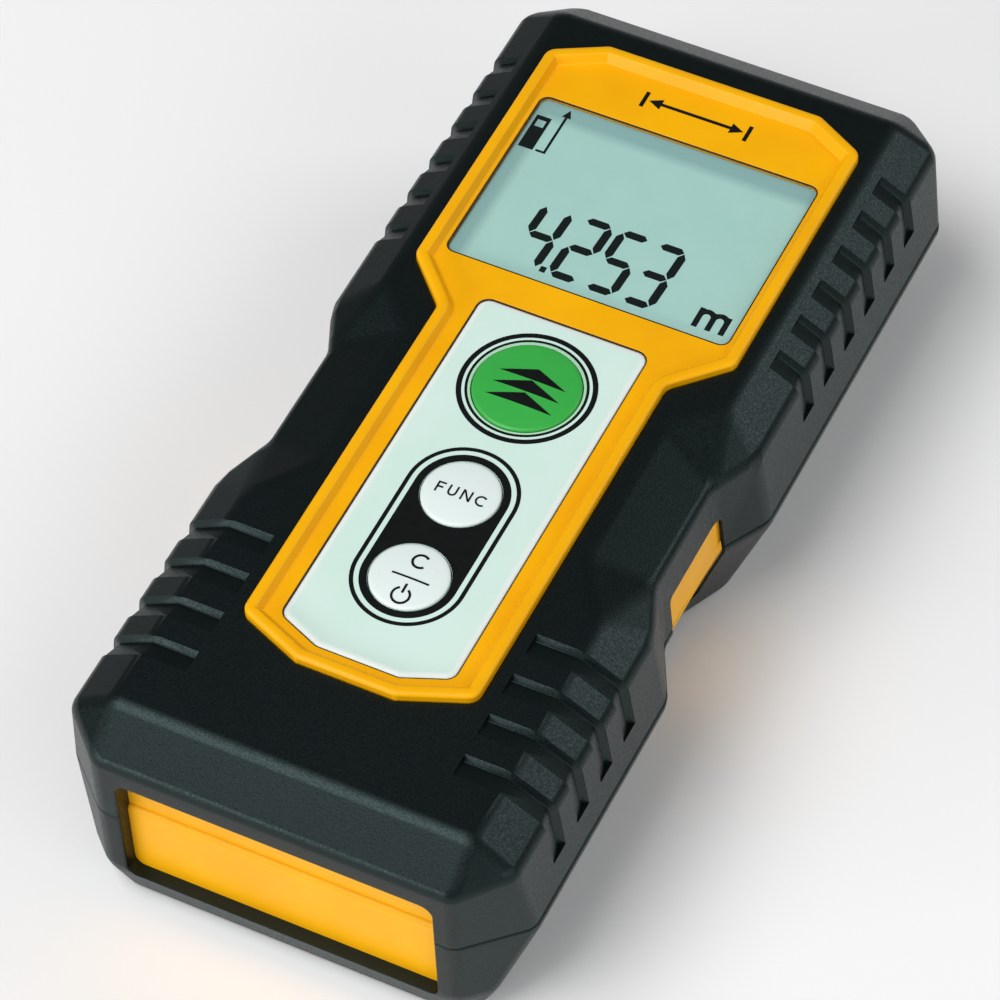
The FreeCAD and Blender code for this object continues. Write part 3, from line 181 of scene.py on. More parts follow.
def piece_from(name, points, faces):
    """A new object from points in millimetres, its faces turned outwards."""
    shape = bmesh.new()
    corners = [shape.verts.new(Vector(point) * MM) for point in points]
    for face in faces:
        shape.faces.new([corners[i] for i in face])
    bmesh.ops.remove_doubles(shape, verts=shape.verts, dist=1e-7)
    bmesh.ops.dissolve_degenerate(shape, edges=shape.edges, dist=1e-7)
    bmesh.ops.recalc_face_normals(shape, faces=shape.faces)
    mesh = bpy.data.meshes.new(name)
    shape.to_mesh(mesh)
    shape.free()
    return add_piece(name, mesh)


def add_piece(name, mesh):
    """A new object in the scene that shows a mesh."""
    piece = bpy.data.objects.new(name, mesh)
    bpy.context.scene.collection.objects.link(piece)
    return piece


def loft(name, rings):
    """A solid whose skin runs from ring to ring, all with as many points; flat ends."""
    count = len(rings[0])
    points = [point for ring in rings for point in ring]
    faces = []
    for level in range(len(rings) - 1):
        for i in range(count):
            a = level * count + i
            b = level * count + (i + 1) % count
            faces.append((a, b, b + count, a + count))
    faces.append(tuple(reversed(range(count))))
    faces.append(tuple(range(len(points) - count, len(points))))
    return piece_from(name, points, faces)


def stack(name, outline, levels):
    """A loft of one outline, which is a function of its inset, through (height, inset) levels."""
    return loft(name, [[(x, y, z) for x, y in outline(amount)] for z, amount in levels])


def settle(piece):
    """Turn a piece's modifiers into plain mesh."""
    depsgraph = bpy.context.evaluated_depsgraph_get()
    mesh = bpy.data.meshes.new_from_object(piece.evaluated_get(depsgraph))
    old = piece.data
    piece.modifiers.clear()
    piece.data = mesh
    if old.users == 0:
        bpy.data.meshes.remove(old)
    mesh.name = piece.name
    return piece


def cut(piece, *tools, operation="DIFFERENCE"):
    """Cut tools out of a piece, or join them to it, and throw the tools away."""
    for tool in tools:
        step = piece.modifiers.new("cut", "BOOLEAN")
        step.object = tool
        step.operation = operation
        step.solver = "EXACT"
    settle(piece)
    for tool in tools:
        mesh = tool.data
        bpy.data.objects.remove(tool)
        bpy.data.meshes.remove(mesh)
    return piece


def smooth(piece, angle=32.0):
    """Soft shading that stays flat on the large faces and crisp over sharp edges."""
    piece.data.shade_smooth()
    piece.data.set_sharp_from_angle(angle=math.radians(angle))
    step = piece.modifiers.new("face_weight", "WEIGHTED_NORMAL")
    step.keep_sharp = True
    step.weight = 80
    return settle(piece)


def round_edges(piece, width, segments=3, angle=30.0):
    """Round every edge that is sharper than an angle."""
    step = piece.modifiers.new("rounding", "BEVEL")
    step.width = width * MM
    step.segments = segments
    step.limit_method = "ANGLE"
    step.angle_limit = math.radians(angle)
    step.use_clamp_overlap = True
    return settle(piece)


def mirror_half(points):
    """Close a right half outline, given from near to far, with its left half."""
    return points + [(-x, y) for x, y in reversed(points)]


def inset(points, amount):
    """Move every side of a flat outline inwards by the same amount."""
    moved = []
    for i, (x, y) in enumerate(points):
        before = Vector((x, y)) - Vector(points[i - 1])
        after = Vector(points[(i + 1) % len(points)]) - Vector((x, y))
        before.normalize()
        after.normalize()
        inward = Vector((-before.y - after.y, before.x + after.x))
        inward /= 1.0 + before.dot(after)
        moved.append((x + inward.x * amount, y + inward.y * amount))
    return moved


def rounded(points, radius, amount=0.0, steps=7):
    """An outline with arcs at its corners, inset by an amount, the arcs staying concentric."""
    corners = inset(points, amount)
    result = []
    for i, corner in enumerate(corners):
        corner = Vector(corner)
        before = (corner - Vector(corners[i - 1])).normalized()
        after = (Vector(corners[(i + 1) % len(corners)]) - corner).normalized()
        turn = before.x * after.y - before.y * after.x
        bend = math.acos(max(-1.0, min(1.0, before.dot(after))))
        own = max(radius - amount if turn > 0 else radius + amount, 0.02)
        reach = own * math.tan(bend / 2)
        centre = corner + (after - before).normalized() * (own / math.cos(bend / 2))
        start = corner - before * reach
        for k in range(steps + 1):
            swing = bend * k / steps * (1 if turn > 0 else -1)
            arm = start - centre
            result.append((centre.x + arm.x * math.cos(swing) - arm.y * math.sin(swing),
                           centre.y + arm.x * math.sin(swing) + arm.y * math.cos(swing)))
    return result


def column(name, outline, low_z, high_z):
    """An upright solid of one outline."""
    return loft(name, [[(x, y, low_z) for x, y in outline], [(x, y, high_z) for x, y in outline]])


def circle(x, y, radius, steps=64):
    """Outline of a full circle."""
    return [(x + radius * math.cos(2 * math.pi * k / steps),
             y + radius * math.sin(2 * math.pi * k / steps)) for k in range(steps)]


def box_outline(low_x, low_y, high_x, high_y):
    """Outline of an upright rectangle."""
    return [(low_x, low_y), (high_x, low_y), (high_x, high_y), (low_x, high_y)]


def lathe(name, profile, centre, axis="Z", steps=64):
    """Turn a profile of (radius, height) a full turn about an upright or lengthwise axis."""
    points, faces, rings = [], [], []
    for radius, height in profile:
        if radius < 1e-6:
            rings.append([len(points)] * steps)
            points.append((0.0, 0.0, height))
        else:
            rings.append(list(range(len(points), len(points) + steps)))
            points += [(x, y, height) for x, y in circle(0, 0, radius, steps)]
    for lower, upper in zip(rings, rings[1:]):
        for i in range(steps):
            j = (i + 1) % steps
            face = []
            for corner in (lower[i], lower[j], upper[j], upper[i]):
                if corner not in face:
                    face.append(corner)
            if len(face) > 2:
                faces.append(face)
    if axis == "Y":
        points = [(x, z, -y) for x, y, z in points]
    points = [tuple(a + b for a, b in zip(point, centre)) for point in points]
    return piece_from(name, points, faces)


def join(name, pieces):
    """Several loose pieces as one."""
    shape = bmesh.new()
    for piece in pieces:
        shape.from_mesh(piece.data)
    mesh = bpy.data.meshes.new(name)
    shape.to_mesh(mesh)
    shape.free()
    for piece in pieces:
        old = piece.data
        bpy.data.objects.remove(piece)
        bpy.data.meshes.remove(old)
    return add_piece(name, mesh)


def cad_copy(name, node):
    """A merged copy of a CAD node's mesh, which may then be cut."""
    shape = bmesh.new()
    shape.from_mesh(frame["nodes"][node].data)
    bmesh.ops.remove_doubles(shape, verts=shape.verts, dist=1e-6)
    bmesh.ops.dissolve_limit(shape, angle_limit=math.radians(0.5), verts=shape.verts,
                             edges=shape.edges)
    mesh = bpy.data.meshes.new(name)
    shape.to_mesh(mesh)
    shape.free()
    return add_piece(name, mesh)


def lie_of(node):
    """Where a round, lengthwise CAD node lies: its axis' x and z, and its two ends' y."""
    low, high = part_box(node)
    x, z = (low[0] + high[0]) / 2 / MM, (low[2] + high[2]) / 2 / MM
    return x, z, low[1] / MM, high[1] / MM


def fit(piece, body, finish, slot, *nodes):
    """Give a piece its finish and its place among the moving bodies."""
    piece.data.materials.clear()
    piece.data.materials.append(finish)
    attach(piece, body)
    if nodes:
        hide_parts(*nodes)
    return piece


# ---------------------------------------------------------------- finishes

def linear(red, green, blue):
    """Screen colour values from 0 to 255 as the shader's linear colour."""
    values = [value / 255 for value in (red, green, blue)]
    return tuple(v / 12.92 if v <= 0.04045 else ((v + 0.055) / 1.055) ** 2.4
                 for v in values) + (1.0,)


class Finish:
    """A node material, built step by step on Object coordinates."""

    def __init__(self, name, roughness=0.5, metallic=0.0, specular=0.5):
        self.material = bpy.data.materials.new(name)
        self.material.use_nodes = True
        self.nodes = self.material.node_tree.nodes
        self.links = self.material.node_tree.links
        self.shader = self.nodes["Principled BSDF"]
        self.shader.inputs["Roughness"].default_value = roughness
        self.shader.inputs["Metallic"].default_value = metallic
        self.shader.inputs["Specular IOR Level"].default_value = specular
        self.place = self.nodes.new("ShaderNodeTexCoord").outputs["Object"]
        self.height = None

    def stretch(self, scale):
        """The place, scaled along each axis, for brushed or drawn marks."""
        node = self.nodes.new("ShaderNodeMapping")
        node.inputs["Scale"].default_value = scale
        self.links.new(self.place, node.inputs["Vector"])
        return node.outputs["Vector"]

    def noise(self, size, detail=2.0, place=None):
        """Noise whose features are about this many millimetres across."""
        node = self.nodes.new("ShaderNodeTexNoise")
        node.inputs["Scale"].default_value = 1.0 / (size * MM)
        node.inputs["Detail"].default_value = detail
        self.links.new(place or self.place, node.inputs["Vector"])
        return node.outputs["Fac"]

    def cells(self, size):
        """Distance to the middle of cells that are about this many millimetres across."""
        node = self.nodes.new("ShaderNodeTexVoronoi")
        node.inputs["Scale"].default_value = 1.0 / (size * MM)
        self.links.new(self.place, node.inputs["Vector"])
        return node.outputs["Distance"]

    def span(self, value, low, high, from_low=0.3, from_high=0.7):
        """Spread a value's range over another one; the usual range is that of noise."""
        node = self.nodes.new("ShaderNodeMapRange")
        node.inputs["From Min"].default_value = from_low
        node.inputs["From Max"].default_value = from_high
        node.inputs["To Min"].default_value = low
        node.inputs["To Max"].default_value = high
        self.links.new(value, node.inputs["Value"])
        return node.outputs["Result"]

    def blend(self, factor, first, second):
        """Mix two colours, or outputs that carry colours, by a factor.

        A Mix node's colour sockets are its inputs 6 and 7 and its output 2.
        """
        node = self.nodes.new("ShaderNodeMix")
        node.data_type = "RGBA"
        self.links.new(factor, node.inputs[0])
        for socket, value in ((node.inputs[6], first), (node.inputs[7], second)):
            if isinstance(value, tuple):
                socket.default_value = value
            else:
                self.links.new(value, socket)
        return node.outputs[2]

    def colour(self, value):
        """Set the base colour to one colour or to an output."""
        if isinstance(value, tuple):
            self.shader.inputs["Base Color"].default_value = value
        else:
            self.links.new(value, self.shader.inputs["Base Color"])
        return self

    def mottled(self, base, size, amount):
        """Base colour that drifts lighter and darker over the surface."""
        dark = tuple(c * (1 - amount) for c in base[:3]) + (1.0,)
        light = tuple(min(c * (1 + amount), 1.0) for c in base[:3]) + (1.0,)
        return self.colour(self.blend(self.span(self.noise(size), 0.0, 1.0), dark, light))

    def uneven(self, low, high, size):
        """Roughness that drifts between two values."""
        self.links.new(self.span(self.noise(size, 3.0), low, high),
                       self.shader.inputs["Roughness"])
        return self

    def axis(self, letter):
        """Place along one axis, in metres."""
        split = self.nodes.new("ShaderNodeSeparateXYZ")
        self.links.new(self.place, split.inputs[0])
        return split.outputs[letter]

    def relief(self, value, depth, strength=1.0):
        """Add a bump of this many millimetres on top of the earlier ones."""
        node = self.nodes.new("ShaderNodeBump")
        node.inputs["Strength"].default_value = strength
        node.inputs["Distance"].default_value = depth * MM
        self.links.new(value, node.inputs["Height"])
        if self.height is not None:
            self.links.new(self.height, node.inputs["Normal"])
        self.height = node.outputs["Normal"]
        self.links.new(self.height, self.shader.inputs["Normal"])
        return self


def moulded(name, colour, roughness, grain=0.25, depth=0.004, drift=0.06, specular=0.5):
    """Injection-moulded plastic: a faint grain and slow drift in colour and gloss."""
    finish = Finish(name, roughness, specular=specular)
    finish.mottled(colour, 9.0, drift)
    finish.uneven(roughness - 0.05, roughness + 0.06, 3.0)
    finish.relief(finish.noise(grain, 3.0), depth)
    return finish.material


def keypad_film():
    """Pale mint film, whiter over its bevelled edge: a painted highlight along the bevel."""
    finish = Finish("keypad_film_painted_highlight", 0.34, specular=0.4)
    edge = finish.nodes.new("ShaderNodeAttribute")
    edge.attribute_name = "edge"
    mint = finish.blend(finish.span(finish.noise(9.0), 0.0, 1.0), linear(212, 239, 228),
                        linear(218, 242, 233))
    # Painted highlight: the colour turns white over the bevelled edge, where the light would catch it.
    finish.colour(finish.blend(finish.span(edge.outputs["Fac"], 0.0, 1.0, 0.0, 0.6), mint,
                               linear(240, 249, 246)))
    finish.uneven(0.3, 0.4, 3.0)
    finish.relief(finish.noise(0.25, 3.0), 0.003)
    return finish.material


def rubber(name, colour, roughness):
    """Soft-touch skin with a spark-eroded grain."""
    finish = Finish(name, roughness, specular=0.36)
    finish.shader.inputs["Specular Tint"].default_value = (0.66, 0.95, 0.93, 1.0)
    finish.mottled(colour, 14.0, 0.15)
    finish.uneven(roughness - 0.08, roughness + 0.1, 0.24)
    finish.relief(finish.noise(1.1, 2.0), 0.008, 0.3)
    finish.relief(finish.noise(0.2, 1.0), 0.017, 1.0)
    return finish.material


def metal(name, colour, roughness, stretch=(1.0, 1.0, 1.0), depth=0.003):
    """Bare metal with fine marks, which run along an axis where it is stretched."""
    finish = Finish(name, roughness, metallic=1.0)
    lines = finish.stretch(stretch)
    finish.mottled(colour, 5.0, 0.08)
    finish.relief(finish.noise(0.2, 4.0, lines), depth)
    finish.uneven(roughness - 0.06, roughness + 0.08, 0.8)
    return finish.material


def printed(name, colour, roughness=0.45):
    """Printing ink: dense, with a trace of unevenness."""
    finish = Finish(name, roughness, specular=0.15)
    finish.mottled(colour, 1.2, 0.1)
    finish.uneven(roughness - 0.04, roughness + 0.05, 0.6)
    return finish.material


def coated(name, tint, alpha):
    """Lens glass with a thin coating that colours its reflections."""
    finish = Finish(name, 0.04, specular=0.8)
    finish.mottled(tint, 6.0, 0.1)
    finish.relief(finish.noise(4.0, 1.0), 0.001)
    finish.shader.inputs["Thin Film Thickness"].default_value = 430.0
    finish.shader.inputs["Thin Film IOR"].default_value = 1.9
    finish.shader.inputs["Alpha"].default_value = alpha
    return finish.material


def clear(name, tint, alpha, roughness):
    """A clear moulding that lets the light through to what lies under it."""
    finish = Finish(name, roughness, specular=0.6)
    finish.mottled(tint, 12.0, 0.02)
    finish.relief(finish.noise(6.0, 1.0), 0.002)
    finish.shader.inputs["Alpha"].default_value = alpha
    return finish.material


RUBBER = rubber("soft_black_skin", linear(7, 11, 12), 0.38)
YELLOW = moulded("yellow_shell", linear(255, 180, 0), 0.38, specular=0.25)
INK = printed("black_print", linear(16, 19, 19))
SEGMENT_INK = printed("display_segments", linear(4, 8, 9), 0.5)
KEYPAD_FILM = keypad_film()
KEY_WHITE = moulded("white_key_cap", linear(232, 244, 241), 0.3, drift=0.012)
KEY_GREEN = moulded("green_key_cap", linear(56, 176, 72), 0.36, drift=0.03)
KEY_RIM = moulded("mint_key_edge", linear(176, 228, 190), 0.34, drift=0.02)
BLACK_PLASTIC = moulded("black_moulding", linear(28, 29, 31), 0.42, depth=0.008)
WINDOW_CLEAR = clear("clear_window", linear(90, 110, 106), 0.03, 0.08)
STEEL = metal("plated_steel", linear(188, 190, 192), 0.28)
LENS_GLASS = coated("coated_lens", linear(16, 10, 22), 0.85)
RING_BLACK = moulded("ring_black", linear(20, 20, 22), 0.3, depth=0.003)


# ---------------------------------------------------------------- soft skins

def ring(half, waist, end, corner, z_side, z_waist, z_end, marks):
    """One loop of the body's outline, with its waist and its cut corners."""
    near, waist_near, waist_far, far = marks
    run = (half - corner) * CORNER_SLOPE
    right = [(corner, -end, z_end), (half, run - end, z_side), (half, near, z_side),
             (waist, waist_near, z_waist), (waist, waist_far, z_waist), (half, far, z_side),
             (half, end - run, z_side), (corner, end, z_end)]
    return right + [(-x, y, z) for x, y, z in reversed(right)]


def front_rings(side=0.0, end=0.0):
    """Loops of the front half, moved inwards by a thickness."""
    half = FRONT_HALF - side
    waist = half - WAIST_DEPTH
    length = HALF_LENGTH - end
    shoulder = half - DRAFT
    corner = shoulder - CORNER_WIDTH + side * 0.5
    top_half = shoulder - SHOULDER_WIDTH + side * 0.7
    top_waist = waist - WAIST_DRAFT - WAIST_SHOULDER + side * 0.85
    top_end = length - END_SHOULDER + end * 0.7
    return [
        ring(half, waist, length, corner, PARTING_Z, PARTING_Z, PARTING_Z, SIDE_MARKS),
        ring(shoulder, waist - WAIST_DRAFT, length, corner, TOP_Z - SHOULDER_DROP - side * 0.5,
             TOP_Z - WAIST_DROP - side * 0.7, TOP_Z - END_DROP - side * 0.25, SIDE_MARKS),
        ring(top_half, top_waist, top_end, top_half, TOP_Z - side, TOP_Z - side, TOP_Z - side,
             TOP_MARKS),
    ]


def rear_rings(side=0.0, end=0.0, base=0.0):
    """Loops of the rear half, from the base up to the parting face."""
    half = REAR_HALF - side
    waist = half - WAIST_DEPTH - 0.1
    length = HALF_LENGTH - end
    corner = half - 0.1 - DRAFT - CORNER_WIDTH + side * 0.5

    def level(z, inward):
        rise = z / LIP_Z
        wide = BASE_HALF - side + (half - BASE_HALF + side) * rise
        narrow = BASE_WAIST - side + (waist - BASE_WAIST + side) * rise
        return ring(wide, narrow, length - inward, min(corner, wide - BASE_CORNER), z, z, z,
                    SIDE_MARKS)

    rim = ring(half, waist, length, corner, LIP_Z, LIP_Z, LIP_Z, SIDE_MARKS)
    top = [(x, y, PARTING_Z) for x, y, _ in rim]
    return [level(base, BASE_INSET * (TAPER_Z - base) / TAPER_Z), level(TAPER_Z, 0.0), rim, top]


def facets(name, rings):
    """A closed body of flat facets: a bent quad is split on its short diagonal."""
    count = len(rings[0])
    points = [Vector(point) for loop in rings for point in loop]
    faces = [tuple(reversed(range(count))),
             tuple(range(len(points) - count, len(points)))]
    for level in range(len(rings) - 1):
        for i in range(count):
            a, b = level * count + i, level * count + (i + 1) % count
            quad = (a, b, b + count, a + count)
            normal = (points[b] - points[a]).cross(points[b + count] - points[a])
            bend = normal.dot(points[a + count] - points[a]) / max(normal.length, 1e-9)
            if abs(bend) < 1e-3:
                faces.append(quad)
            elif (points[b] - points[a + count]).length < (points[a] - points[b + count]).length:
                faces += [(a, b, a + count), (b, b + count, a + count)]
            else:
                faces += [(a, b, b + count), (a, b + count, a + count)]
    return piece_from(name, points, faces)


def soften(piece, *seam_levels):
    """Round the edges between the facets, widely on the outside and little at the seam."""
    mesh = piece.data
    shape = bmesh.new()
    shape.from_mesh(mesh)
    weight = shape.edges.layers.float.new("bevel_weight_edge")
    for edge in shape.edges:
        if edge.calc_face_angle(0.0) < math.radians(3.0):
            continue
        on_seam = any(all(abs(v.co.z / MM - z) < 0.01 for v in edge.verts) for z in seam_levels)
        edge[weight] = SEAM_ROUND / EDGE_ROUND if on_seam else 1.0
    shape.to_mesh(mesh)
    shape.free()
    step = piece.modifiers.new("soft_edges", "BEVEL")
    step.width = EDGE_ROUND * MM
    step.segments = 6
    step.limit_method = "WEIGHT"
    step.use_clamp_overlap = False
    step.miter_outer = "MITER_SHARP"
    return settle(piece)


def end_window_tool(name):
    """Opening through both ends, a little flared at the outer face."""
    half, low, high, corner = END_WINDOW
    outline = box_outline(-half, low, half, high)
    _, mouth = END_FLARE[0]
    near = [(-HALF_LENGTH - CLEAR, mouth)] + [(depth - HALF_LENGTH, grow)
                                              for depth, grow in END_FLARE]
    far = [(-y, grow) for y, grow in reversed(near)]
    return loft(name, [[(x, y, z) for x, z in rounded(outline, corner, grow)]
                       for y, grow in near + far])


def side_window_tools(name):
    """Opening at the waist on each side."""
    near, far, low, high = SIDE_WINDOW
    outline = box_outline(near, low, far, high)
    tools = []
    for side in (-1, 1):
        rings = [[(side * x, y, z) for y, z in rounded(outline, SIDE_WINDOW_ROUND, grow)]
                 for x, grow in SIDE_FLARE]
        tools.append(loft(name, rings))
    return tools


def pocket_section(inner_x, low_z, depth):
    """Section of a grip pocket across the body: its floor, then a line outside the body."""
    shoulder = FRONT_HALF - DRAFT
    top_half = shoulder - SHOULDER_WIDTH
    shoulder_z = TOP_Z - SHOULDER_DROP
    low_x = shoulder + DRAFT / (shoulder_z - PARTING_Z) * (shoulder_z - low_z)
    slope = SHOULDER_DROP / SHOULDER_WIDTH
    middle = (max(inner_x, top_half - depth / 3), TOP_Z - depth
              - max(inner_x - top_half, 0.0) * slope)
    start = (inner_x, TOP_Z - depth) if inner_x < top_half else middle
    bend_x, bend_z = shoulder - depth, shoulder_z - depth / 2
    return [start, middle, (bend_x - POCKET_EASE, bend_z + POCKET_EASE * slope),
            (bend_x, bend_z - POCKET_EASE), (low_x - depth, low_z),
            (FRONT_HALF + CLEAR, low_z), (FRONT_HALF + CLEAR, TOP_Z + CLEAR),
            (inner_x, TOP_Z + CLEAR)]


def pocket_tools(name):
    """The grip pockets of both sides as one tool: a steep far wall and a ramp for a floor."""
    tools = []
    for first_y, pitch, count, inner_x, low_z in (HEAD_POCKETS, TAIL_POCKETS):
        for i in range(count):
            far_y = first_y + i * pitch
            for side in (-1, 1):
                stations = ((far_y + POCKET_LEAN, 0.0), (far_y + 0.05, POCKET_DEPTH - 0.1),
                            (far_y - 0.1, POCKET_DEPTH), (far_y - POCKET_LENGTH, POCKET_LIP))
                rings = [[(side * x, y, z) for x, z in pocket_section(inner_x, low_z, depth)]
                         for y, depth in stations]
                tools.append(loft(name, rings))
    return join(name, tools)


def bezel_outline(amount=0.0):
    """Outline of the bezel piece, inset by an amount."""
    return rounded(mirror_half(BEZEL), BEZEL_ROUND, amount)


def base_outline(amount=0.0):
    """Outline of the opening in the base, inset by an amount."""
    half, end = BASE_WINDOW
    return rounded(box_outline(-half, -end, half, end), BASE_WINDOW_ROUND, amount)


def make_front_skin():
    """Soft skin of the front half, open round the bezel and at the windows."""
    skin = soften(facets("grip_front", front_rings()), PARTING_Z)
    opening = stack("tool", bezel_outline, BEZEL_FLARE)
    cut(skin, pocket_tools("tool"))
    cut(skin, facets("tool", front_rings(SKIN, END_SKIN)), opening, end_window_tool("tool"),
        *side_window_tools("tool"))
    smooth(skin)
    fit(skin, "root", RUBBER, "soft_black", "front_overmould")


def make_rear_skin():
    """Soft skin of the rear half, open at the base, the windows and the screws."""
    skin = soften(facets("grip_rear", rear_rings()), LIP_Z, PARTING_Z)
    base = stack("tool", base_outline, BASE_FLARE)
    hole = [(0, -CLEAR), (SCREW_MOUTH, -CLEAR), (SCREW_MOUTH, 0.0), (SCREW_HOLE, 0.3),
            (SCREW_HOLE, PARTING_Z), (0, PARTING_Z)]
    holes = join("tool", [lathe("hole", hole, (x, y, 0.0)) for x, y in SCREWS])
    cut(skin, facets("tool", rear_rings(SKIN, END_SKIN, SKIN)), base, holes,
        end_window_tool("tool"), *side_window_tools("tool"))
    smooth(skin)
    fit(skin, "root", RUBBER, "soft_black", "rear_overmould")


make_front_skin()
make_rear_skin()


# ---------------------------------------------------------------- yellow shells and bezel

def window_outline(amount=0.0):
    """Outline of the display window, inset by an amount."""
    corners = box_outline(-WINDOW_HALF, WINDOW_NEAR, WINDOW_HALF, WINDOW_FAR)
    return rounded(corners, WINDOW_ROUND, amount)


def keypad_outline(amount=0.0):
    """Outline of the keypad, inset by an amount."""
    return rounded(mirror_half(KEYPAD), KEYPAD_ROUND, amount)


def make_bezel():
    """Plate round the display and the keypad, inside a soft raised rim."""
    bezel = stack("bezel", bezel_outline, [(z, amount) for amount, z in BEZEL_PROFILE])
    seat = ((PLATE_Z - 0.1, -SEAT_GROW), (PLATE_Z, -SEAT_BREAK), (RIM_Z + 1, -SEAT_BREAK))
    window = stack("tool", window_outline, ((PARTING_Z, -SEAT_GROW),) + seat)
    recess = stack("tool", keypad_outline, ((KEYPAD_LOW_Z, -SEAT_GROW),) + seat)
    opening = column("tool", keypad_outline(KEYPAD_LEDGE), PARTING_Z, PLATE_Z - 0.5)
    cut(bezel, window, recess, opening)
    smooth(bezel, 40.0)
    fit(bezel, "root", YELLOW, "yellow_plastic")


def make_shells():
    """The rigid shells as the CAD has them.

    The front one is cut back under the bezel piece, and the rear one has a label's recess.
    """
    front = cad_copy("shell_front", "front_shell")
    outline = rounded(inset(mirror_half(BEZEL), -SHELL_ROOM), BEZEL_ROUND)
    cut(front, column("tool", outline, BEZEL_LOW_Z, RIM_Z + CLEAR))
    smooth(front, 30.0)
    fit(front, "root", YELLOW, "yellow_plastic", "front_shell")
    rear = cad_copy("shell_rear", "rear_shell")
    low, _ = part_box("rear_shell")
    base = low[2] / MM
    plate = rounded(box_outline(-LABEL_HALF, LABEL_NEAR, LABEL_HALF, LABEL_FAR), LABEL_ROUND)
    cut(rear, column("tool", plate, base - 1.0, base + LABEL_DEPTH))
    smooth(rear, 30.0)
    fit(rear, "root", YELLOW, "yellow_plastic", "rear_shell")


def make_end_lip():
    """The rear shell stands a little proud of the front one in the near end window."""
    half, low, _, _ = END_WINDOW
    wall_y = -HALF_LENGTH + END_SKIN
    outline = box_outline(-half - LIP_REACH, low - LIP_REACH, half + LIP_REACH, PARTING_Z)
    rings = [[(x, wall_y - proud, z) for x, z in rounded(outline, LIP_ROUND, amount)]
             for proud, amount in LIP_PROFILE]
    lip = smooth(loft("near_end_lip", rings), 60.0)
    fit(lip, "root", YELLOW, "yellow_plastic")


make_bezel()
make_shells()
make_end_lip()


# ---------------------------------------------------------------- patterns

class Pattern:
    """A geometry node tree for pieces that repeat, with named sizes in millimetres."""

    def __init__(self, name, **sizes):
        self.group = bpy.data.node_groups.new(name, "GeometryNodeTree")
        self.sizes = sizes
        self.sockets = {}
        face = self.group.interface
        face.new_socket("Geometry", in_out="INPUT", socket_type="NodeSocketGeometry")
        face.new_socket("Geometry", in_out="OUTPUT", socket_type="NodeSocketGeometry")
        for label in sizes:
            socket = face.new_socket(label, in_out="INPUT", socket_type="NodeSocketFloat")
            self.sockets[label] = socket.identifier
        self.source = self.group.nodes.new("NodeGroupInput")
        self.places = self.source.outputs["Geometry"]

    def __getitem__(self, label):
        """A named size, as the tree's own input."""
        return self.source.outputs[label]

    def node(self, kind, inputs, output=0, **settings):
        """Add a node; an input is a value or another node's output."""
        node = self.group.nodes.new(kind)
        for setting, value in settings.items():
            setattr(node, setting, value)
        for key, value in inputs.items():
            if isinstance(value, bpy.types.NodeSocket):
                self.group.links.new(value, node.inputs[key])
            else:
                node.inputs[key].default_value = value
        return node.outputs[output]

    def calc(self, operation, first, second):
        """A sum on two values or outputs."""
        return self.node("ShaderNodeMath", {0: first, 1: second}, operation=operation)

    def vector(self, x=0.0, y=0.0, z=0.0):
        """A vector of values or outputs."""
        return self.node("ShaderNodeCombineXYZ", {"X": x, "Y": y, "Z": z})

    def line(self, start, offset):
        """Two points: the first one, and the end that a Mesh Line node calls its offset."""
        return self.node("GeometryNodeMeshLine", {"Count": 2, "Start Location": start,
                                                  "Offset": offset}, mode="END_POINTS")

    def moved(self, geometry, x=0.0, y=0.0, z=0.0):
        """The same geometry, moved."""
        return self.node("GeometryNodeTransform", {"Geometry": geometry,
                                                   "Translation": self.vector(x, y, z)})

    def together(self, *shapes):
        """Several shapes as one geometry."""
        node = self.group.nodes.new("GeometryNodeJoinGeometry")
        for shape in reversed(shapes):
            self.group.links.new(shape, node.inputs[0])
        return node.outputs[0]

    def attribute(self, name):
        """A number that each place carries."""
        return self.node("GeometryNodeInputNamedAttribute", {"Name": name}, data_type="FLOAT")

    def lay(self, name, places, shape, finish, turn=None, size=None):
        """Set the shape on each place and give back a plain mesh piece."""
        inputs = {"Points": self.places, "Instance": shape}
        if turn is not None:
            inputs["Rotation"] = self.vector(z=turn)
        if size is not None:
            inputs["Scale"] = size
        spread = self.node("GeometryNodeInstanceOnPoints", inputs)
        real = self.node("GeometryNodeRealizeInstances", {"Geometry": spread})
        painted = self.node("GeometryNodeSetMaterial", {"Geometry": real, "Material": finish})
        end = self.group.nodes.new("NodeGroupOutput")
        self.group.links.new(painted, end.inputs[0])
        piece = add_piece(name, places)
        step = piece.modifiers.new("pattern", "NODES")
        step.node_group = self.group
        for label, value in self.sizes.items():
            step[self.sockets[label]] = value * MM
        settle(piece)
        return tidy_faces(piece)


def tidy_faces(piece):
    """Merge doubles and turn the faces of every loose shell outwards."""
    shape = bmesh.new()
    shape.from_mesh(piece.data)
    bmesh.ops.remove_doubles(shape, verts=shape.verts, dist=1e-7)
    bmesh.ops.recalc_face_normals(shape, faces=shape.faces)
    shape.to_mesh(piece.data)
    shape.free()
    return piece


def places_mesh(name, places, **values):
    """Loose points in millimetres that carry named numbers."""
    mesh = bpy.data.meshes.new(name)
    mesh.from_pydata([Vector(place) * MM for place in places], [], [])
    for label, numbers in values.items():
        layer = mesh.attributes.new(label, "FLOAT", "POINT")
        layer.data.foreach_set("value", numbers)
    return mesh


# ---------------------------------------------------------------- printed marks

INK_THICK = 0.03
DRAPE_SQUARE = 0.4
DRAPE_STEPS = 15


def arc(x, y, radius, start, stop, steps=20):
    """Points of an arc; angles in degrees, counted from +X towards +Y."""
    angles = [math.radians(start + (stop - start) * k / steps) for k in range(steps + 1)]
    return [(x + radius * math.cos(a), y + radius * math.sin(a)) for a in angles]


